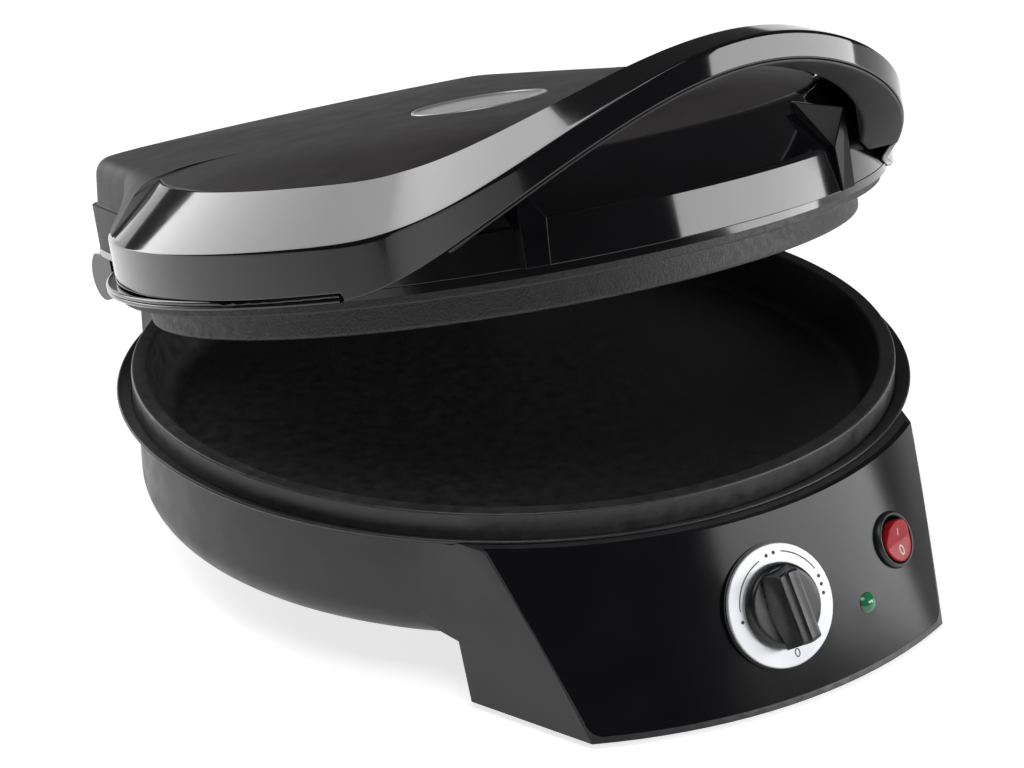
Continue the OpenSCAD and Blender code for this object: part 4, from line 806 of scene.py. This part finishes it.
def makePillars(f):
    # the upright ends of the panel: a narrow facet, a wider one beside it, and a slope that
    # runs back up to the shoulder
    spots = np.array(f["pillar"])
    for side in (-1, 1):
        roundedHull("pillarRight" if side > 0 else "pillarLeft", spots * (side, 1, 1),
            f["pillarRound"], onLid, "pillarBlack", "gloss", "lid", sharp=60)


def makeFrontWall(f):
    # a half section from the panel's end round to where the handle leaves the lid, each side
    s = size
    r0, r1 = s["shoulderR"] + 0.8, s["frameR"] - 1.6
    flat = roundCorners(np.array([[r0, s["frameT"]], [r1, s["frameT"]], [r1, s["bandH"] - 4],
        [s["shoulderR"] + 2, s["shoulderH"] - 3.8], [r0, s["shoulderH"] - 3.2]]),
        [0.4, 0.4, 1.5, 0.8, 0.4])
    start = np.degrees(np.arcsin((s["panelHw"] + 0.1) / flat[None, :, 0]))
    t = np.linspace(0, 1, 40)[:, None]
    for side in (-1, 1):
        a = side * (start + (f["wallEnd"] - start) * t)
        points = polar(flat[None, :, 0] + 0 * a, a, flat[None, :, 1] + 0 * a)
        sweep("frontWallRight" if side > 0 else "frontWallLeft", onLid(points), False,
            "glossBlack", "gloss", "lid", stands=["front_surround"] if side > 0 else (),
            sharp=35)


makeFrontPanel(front)
makePillars(front)
makeFrontWall(front)
print("front panel made")

# housing and hinge lugs: the CAD nodes with their edges rounded

soft = {"housing": 0.7, "lugs": 0.8, "segments": 3, "smoothTo": 35, "roundFrom": 40}


def softened(node, name, width, finishName, body):
    # a copy of a CAD node, its loose triangles joined, with its sharp edges rounded
    mesh = nodes[node].data.copy()
    shape = bmesh.new()
    shape.from_mesh(mesh)
    bmesh.ops.remove_doubles(shape, verts=shape.verts, dist=2e-6)
    bmesh.ops.dissolve_limit(shape, angle_limit=0.003, verts=shape.verts, edges=shape.edges)
    shape.to_mesh(mesh)
    shape.free()
    mesh.name = name
    mesh.materials.clear()
    mesh.materials.append(finish[finishName])
    mesh.polygons.foreach_set("use_smooth", np.ones(len(mesh.polygons), bool))
    mesh.set_sharp_from_angle(angle=math.radians(soft["smoothTo"]))
    obj = bpy.data.objects.new(name, mesh)
    bpy.context.scene.collection.objects.link(obj)
    soften = obj.modifiers.new("softEdges", "BEVEL")
    soften.width, soften.segments = width * 0.001, soft["segments"]
    soften.limit_method, soften.angle_limit = "ANGLE", math.radians(soft["roundFrom"])
    soften.harden_normals = True
    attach(obj, body)
    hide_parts(node)


softened("base_housing", "housingSoft", soft["housing"], "satinHousing", "base")
softened("hinge_lugs", "lugsSoft", soft["lugs"], "glossBlack", "lid")
print("housing and lugs softened")

# controls

# the marks stand on the dial's face as (x, y) from its middle: the 0 as (x, y, half width, half
# height), each arc as (radius, angle) at its start and its end
dial = {"angle": 0.0, "height": 39.5, "ringR": 25.4, "innerR": 14.7, "low": 0.6, "top": 2.1,
    "lineW": 0.5, "dotR": 0.78, "lineUp": 0.06, "zero": (2.3, -20.3, 1.05, 1.65),
    "arcs": ((19.8, 172.4, 20.5, 104.7), (22.0, 74.2, 22.3, 26.9)),
    "dots": ((-19.7, -1.7), (-1.4, 21.1), (2.3, 21.5), (20.9, 6.8), (21.3, 3.3), (21.3, -0.4))}
knob = {"turn": 172.0, "discR": 17.7, "boreR": 3.02, "base": 2.4, "discTop": 6.6, "top": 15.4,
    "foot": 6.7, "crest": 4.9, "flare": 3.2, "pointer": 18.2, "tail": 16.6}
switch = {"angle": 20.9, "height": 43.0, "bezelR": 12.15, "tilt": 8.0, "rockerR": 8.9,
    "crown": 4.6, "wing": 1.5, "pivot": -2.0, "depth": 18, "hollow": 9, "bladeEnd": 24,
    "bladeRows": (-5, 0, 5), "bladeHw": 3, "bladeHt": 0.4, "pivotR": 1.0, "pivotEnd": 10.15,
    "markW": 0.55, "markUp": 0.05, "line": ((0.0, 2.3), (0.0, 3.6), (0.0, 5.4)),
    "circle": (0.0, -4.2, 1.25, 1.9)}
pilot = {"angle": 12.9, "height": 27.3, "ballR": 5.2, "ballZ": -2.6, "lensR": 4.5, "stemR": 4.0,
    "capEnd": 60, "stemDeep": 6}


def turnedOnFront(name, profile, radii, spot, *rest, steps=4, around=128, **more):
    # a closed half section turned about the line square to the leaning front at a spot
    flat = roundCorners(np.asarray(profile, float), radii, steps)
    flat[:, 0] = np.maximum(flat[:, 0], 0)
    t = (np.arange(around) * 2 * np.pi / around)[:, None]
    points = np.stack([flat[None, :, 0] * np.cos(t), flat[None, :, 0] * np.sin(t),
        flat[None, :, 1] + 0 * t], -1)
    return sweep(name, onFront(points, *spot), True, *rest, **more)


def thinLines(name, lines, over, place, *rest):
    # each line is a path with a width; its section is a low bar that follows the surface
    # height over(x, y), and the path closes on itself or ends square
    points, faces = [], []
    for path, width, up, closed in lines:
        path = np.asarray(path, float)
        if closed:
            along = np.roll(path, -1, 0) - np.roll(path, 1, 0)
        else:
            along = np.gradient(path, axis=0)
        along = along / np.linalg.norm(along, axis=1, keepdims=True)
        across = np.stack([-along[:, 1], along[:, 0]], -1) * width / 2
        bar = []
        for side, lift in ((-1, -0.15), (-1, up), (1, up), (1, -0.15)):
            xy = path + side * across
            bar.append(np.concatenate([xy, (over(xy[:, 0], xy[:, 1]) + lift)[:, None]], 1))
        bar = np.stack(bar, 1)
        base = sum(len(q) for q in points)
        faces += (gridFaces(len(path), 4, closed, True) + base).tolist()
        if not closed:
            last = base + 4 * (len(path) - 1)
            faces += [[base + 3, base + 2, base + 1, base], [last, last + 1, last + 2, last + 3]]
        points.append(bar.reshape(-1, 3))
    return addPiece(name, place(np.concatenate(points)), faces, *rest)


def arcPath(r0, a0, r1, a1, n=40):
    # from angle a0 to a1 (degrees from the x axis) while the radius runs from r0 to r1
    a = np.radians(np.linspace(a0, a1, n))
    r = np.linspace(r0, r1, n)
    return np.stack([r * np.cos(a), r * np.sin(a)], -1)


def ovalPath(x, y, rx, ry, n=36):
    # an oval about (x, y) with half width rx and half height ry
    t = np.arange(n) * 2 * np.pi / n
    return np.stack([x + rx * np.cos(t), y + ry * np.sin(t)], -1)


def makeDial(d):
    # a flat ring with its marks: a 0, two arcs and six dots, each a closed line of its radius
    spot = (d["angle"], d["height"])
    turnedOnFront("dialPlate", [[d["innerR"], d["low"]], [d["ringR"], d["low"]],
        [d["ringR"], d["top"]], [d["innerR"], d["top"]]], [0.1, 0.1, 0.5, 0.3], spot,
        "dialSilver", "silver", "base", stands=["dial_ring"], sharp=50)
    w, up, r = d["lineW"], d["lineUp"], d["dotR"]
    lines = [(ovalPath(*d["zero"]), w, up, True)]
    lines += [(arcPath(*arc), w, up, False) for arc in d["arcs"]]
    lines += [(ovalPath(x, y, r / 2, r / 2, 24), r, up, True) for x, y in d["dots"]]
    thinLines("dialMarks", lines, lambda x, y: d["top"] + 0 * x, lambda q: onFront(q, *spot),
        "markBlack", "knob", "base")


def makeKnob(k):
    # a disc with a grip across it. The grip's section at share u of its length is a row of
    # (half width, height) points whose foot flares out in the middle: w + flare (1-u^2) (1-h)^3
    spot = (dial["angle"], dial["height"])
    turnedOnFront("knobDisc", [[k["boreR"], k["base"]], [k["discR"], k["base"]],
        [k["discR"], k["base"] + 1.5], [k["discR"] - 0.8, k["base"] + 3.5],
        [k["discR"] - 2.0, k["discTop"]], [k["boreR"], k["discTop"]]],
        [0.1, 0.3, 0.8, 0.8, 1.2, 0.1], spot, "knobBlack", "knob", "knob",
        stands=["control_knob"], sharp=50)
    low, high = k["discTop"] - 1.0, k["top"]
    h = np.concatenate([[0], np.linspace(0, 0.93, 12), [0.975, 1.0, 1.0]])
    w = k["foot"] + (k["crest"] - k["foot"]) * h
    w[-2:] -= (0.45, 1.1)
    half = np.stack([w, h], -1)
    crest = np.array([[k["crest"] - 2.2, 1.0], [0.55, 1.0], [0.0, 1.035]])
    right = np.concatenate([half, crest])
    section = np.concatenate([right, right[-2::-1] * (-1, 1)])
    u = np.concatenate([-np.linspace(1, 0.9, 8), np.linspace(-0.86, 0.86, 60),
        np.linspace(0.9, 1, 8)])[:, None]
    x0, s0 = section[None, :, 0], section[None, :, 1]
    x = x0 + np.sign(x0) * k["flare"] * (1 - u ** 2) * np.clip(1 - s0, 0, 1) ** 3
    reach = np.where(u > 0, k["pointer"], k["tail"]) - 2.0 * s0 - 0.03 * x ** 2
    ends = 1 - 0.06 * np.clip((np.abs(u) - 0.9) / 0.1, 0, 1) ** 3   # its two ends dip a little
    z = low + (high - low) * s0 * ends
    t = math.radians(-k["turn"])
    y = u * reach
    points = np.stack([x * math.cos(t) - y * math.sin(t), x * math.sin(t) + y * math.cos(t),
        z], -1)
    sweep("knobGrip", onFront(points, *spot), False, "knobBlack", "knob", "knob", sharp=35)


def makeSwitch(w):
    # a round cup with a rolled bezel, three flat blades behind it, and the rocker in it
    spot = (w["angle"], w["height"])
    r, deep, hollow = w["bezelR"], -w["depth"], -w["hollow"]
    turnedOnFront("switchShell", [[r, -0.6], [r - 1.5, -0.6], [r - 1.5, deep], [0, deep],
        [0, hollow], [r - 2.35, hollow], [r - 2.35, 1.5], [r - 1.6, 2.2], [r - 0.9, 2.2],
        [r, 1.0]],
        [0.2, 0.1, 0.4, 0.01, 0.01, 0.3, 0.4, 0.5, 0.6, 0.6], spot, "bezelBlack", "gloss", "base",
        stands=["switch_body"], sharp=50)
    hw, ht = w["bladeHw"], w["bladeHt"]
    for i, y in enumerate(w["bladeRows"]):
        corners = [(x, y + v, z) for x in (-hw, hw) for v in (-ht, ht)
            for z in (-w["bladeEnd"], deep + 0.4)]
        roundedHull(f"switchBlade{i + 1}", corners, 0.1, lambda q: onFront(q, *spot),
            "screwSteel", "steel", "base")
    tilt = math.radians(w["tilt"])

    def tilted(q):
        # the rocker's own frame is turned about its pivot line
        y, z = q[..., 1], q[..., 2]
        return onFront(np.stack([q[..., 0], y * math.cos(tilt) - z * math.sin(tilt),
            w["pivot"] + y * math.sin(tilt) + z * math.cos(tilt)], -1), *spot)

    def over(x, y):
        # lowest along the pivot line, rising to both ends nearly straight:
        # crown + wing (sqrt(y^2 + 1.2) - 1.1) / 7.2
        return w["crown"] + w["wing"] * (np.sqrt(y * y + 1.2) - 1.1) / 7.2
    rr = w["rockerR"]
    t = np.arange(96) * 2 * np.pi / 96
    x, y = np.cos(t), np.sin(t)
    rows = [np.stack([0 * x, 0 * y, over(0 * x, 0 * y)], -1)]
    for r in np.linspace(0.5, rr - 0.8, 14):
        rows.append(np.stack([r * x, r * y, over(r * x, r * y)], -1))
    for inward, down in ((0.45, 0.06), (0.2, 0.2), (0.05, 0.42), (0, 0.8)):
        r = rr - inward
        rows.append(np.stack([r * x, r * y, over(r * x, r * y) - down], -1))
    for share, z in ((0.98, 3.0), (0.94, 1.0), (0.85, -1.0), (0.34, -3.9), (0.33, -4.0)):
        rows.append(np.stack([rr * x * (1 if z > -4 else 0.9), rr * y * share, z + 0 * x], -1))
    rows.append(np.stack([0 * x, 0 * y, -4 + 0 * x], -1))
    sweep("rockerCap", tilted(np.stack(rows, 1)), True, "rockerRed", "red", "rocker",
        stands=["switch_rocker"], sharp=60)
    end, stub = w["pivotEnd"], w["pivotR"]
    length = np.array([-end, 0.1 - end, end - 0.1, end])[:, None]
    r = np.array([stub - 0.1, stub, stub, stub - 0.1])[:, None]
    t = (np.arange(32) * 2 * np.pi / 32)[None]
    sweep("rockerPivot", tilted(np.stack([length + 0 * t, r * np.cos(t), r * np.sin(t)], -1)),
        False, "rockerRed", "red", "rocker", sharp=50)
    lines = [(w["line"], w["markW"], w["markUp"], False),
        (ovalPath(*w["circle"]), w["markW"], w["markUp"], True)]
    thinLines("rockerMarks", lines, over, tilted, "markWhite", "silver", "rocker")


def makePilotLamp(g):
    # a cap of a ball over a straight stem, with a fine step where the two meet
    a = np.radians(np.linspace(0, g["capEnd"], 16))[1:]
    cap = np.stack([g["ballR"] * np.sin(a), g["ballZ"] + g["ballR"] * np.cos(a)], -1)
    cap = cap[cap[:, 0] < g["lensR"]]
    profile = np.concatenate([[[0, g["ballZ"] + g["ballR"]]], cap, [[g["lensR"], 0.02],
        [g["stemR"], -0.05], [g["stemR"], -g["stemDeep"]], [0, -g["stemDeep"]]]])
    turnedOnFront("lampLens", profile, [0.01] + [0.05] * len(cap) + [0.1, 0.1, 0.3, 0.01],
        (g["angle"], g["height"]), "lampGreen", "green", "base", stands=["lamp_lens"], sharp=50)


makeDial(dial)
makeKnob(knob)
makeSwitch(switch)
makePilotLamp(pilot)
print("controls made")
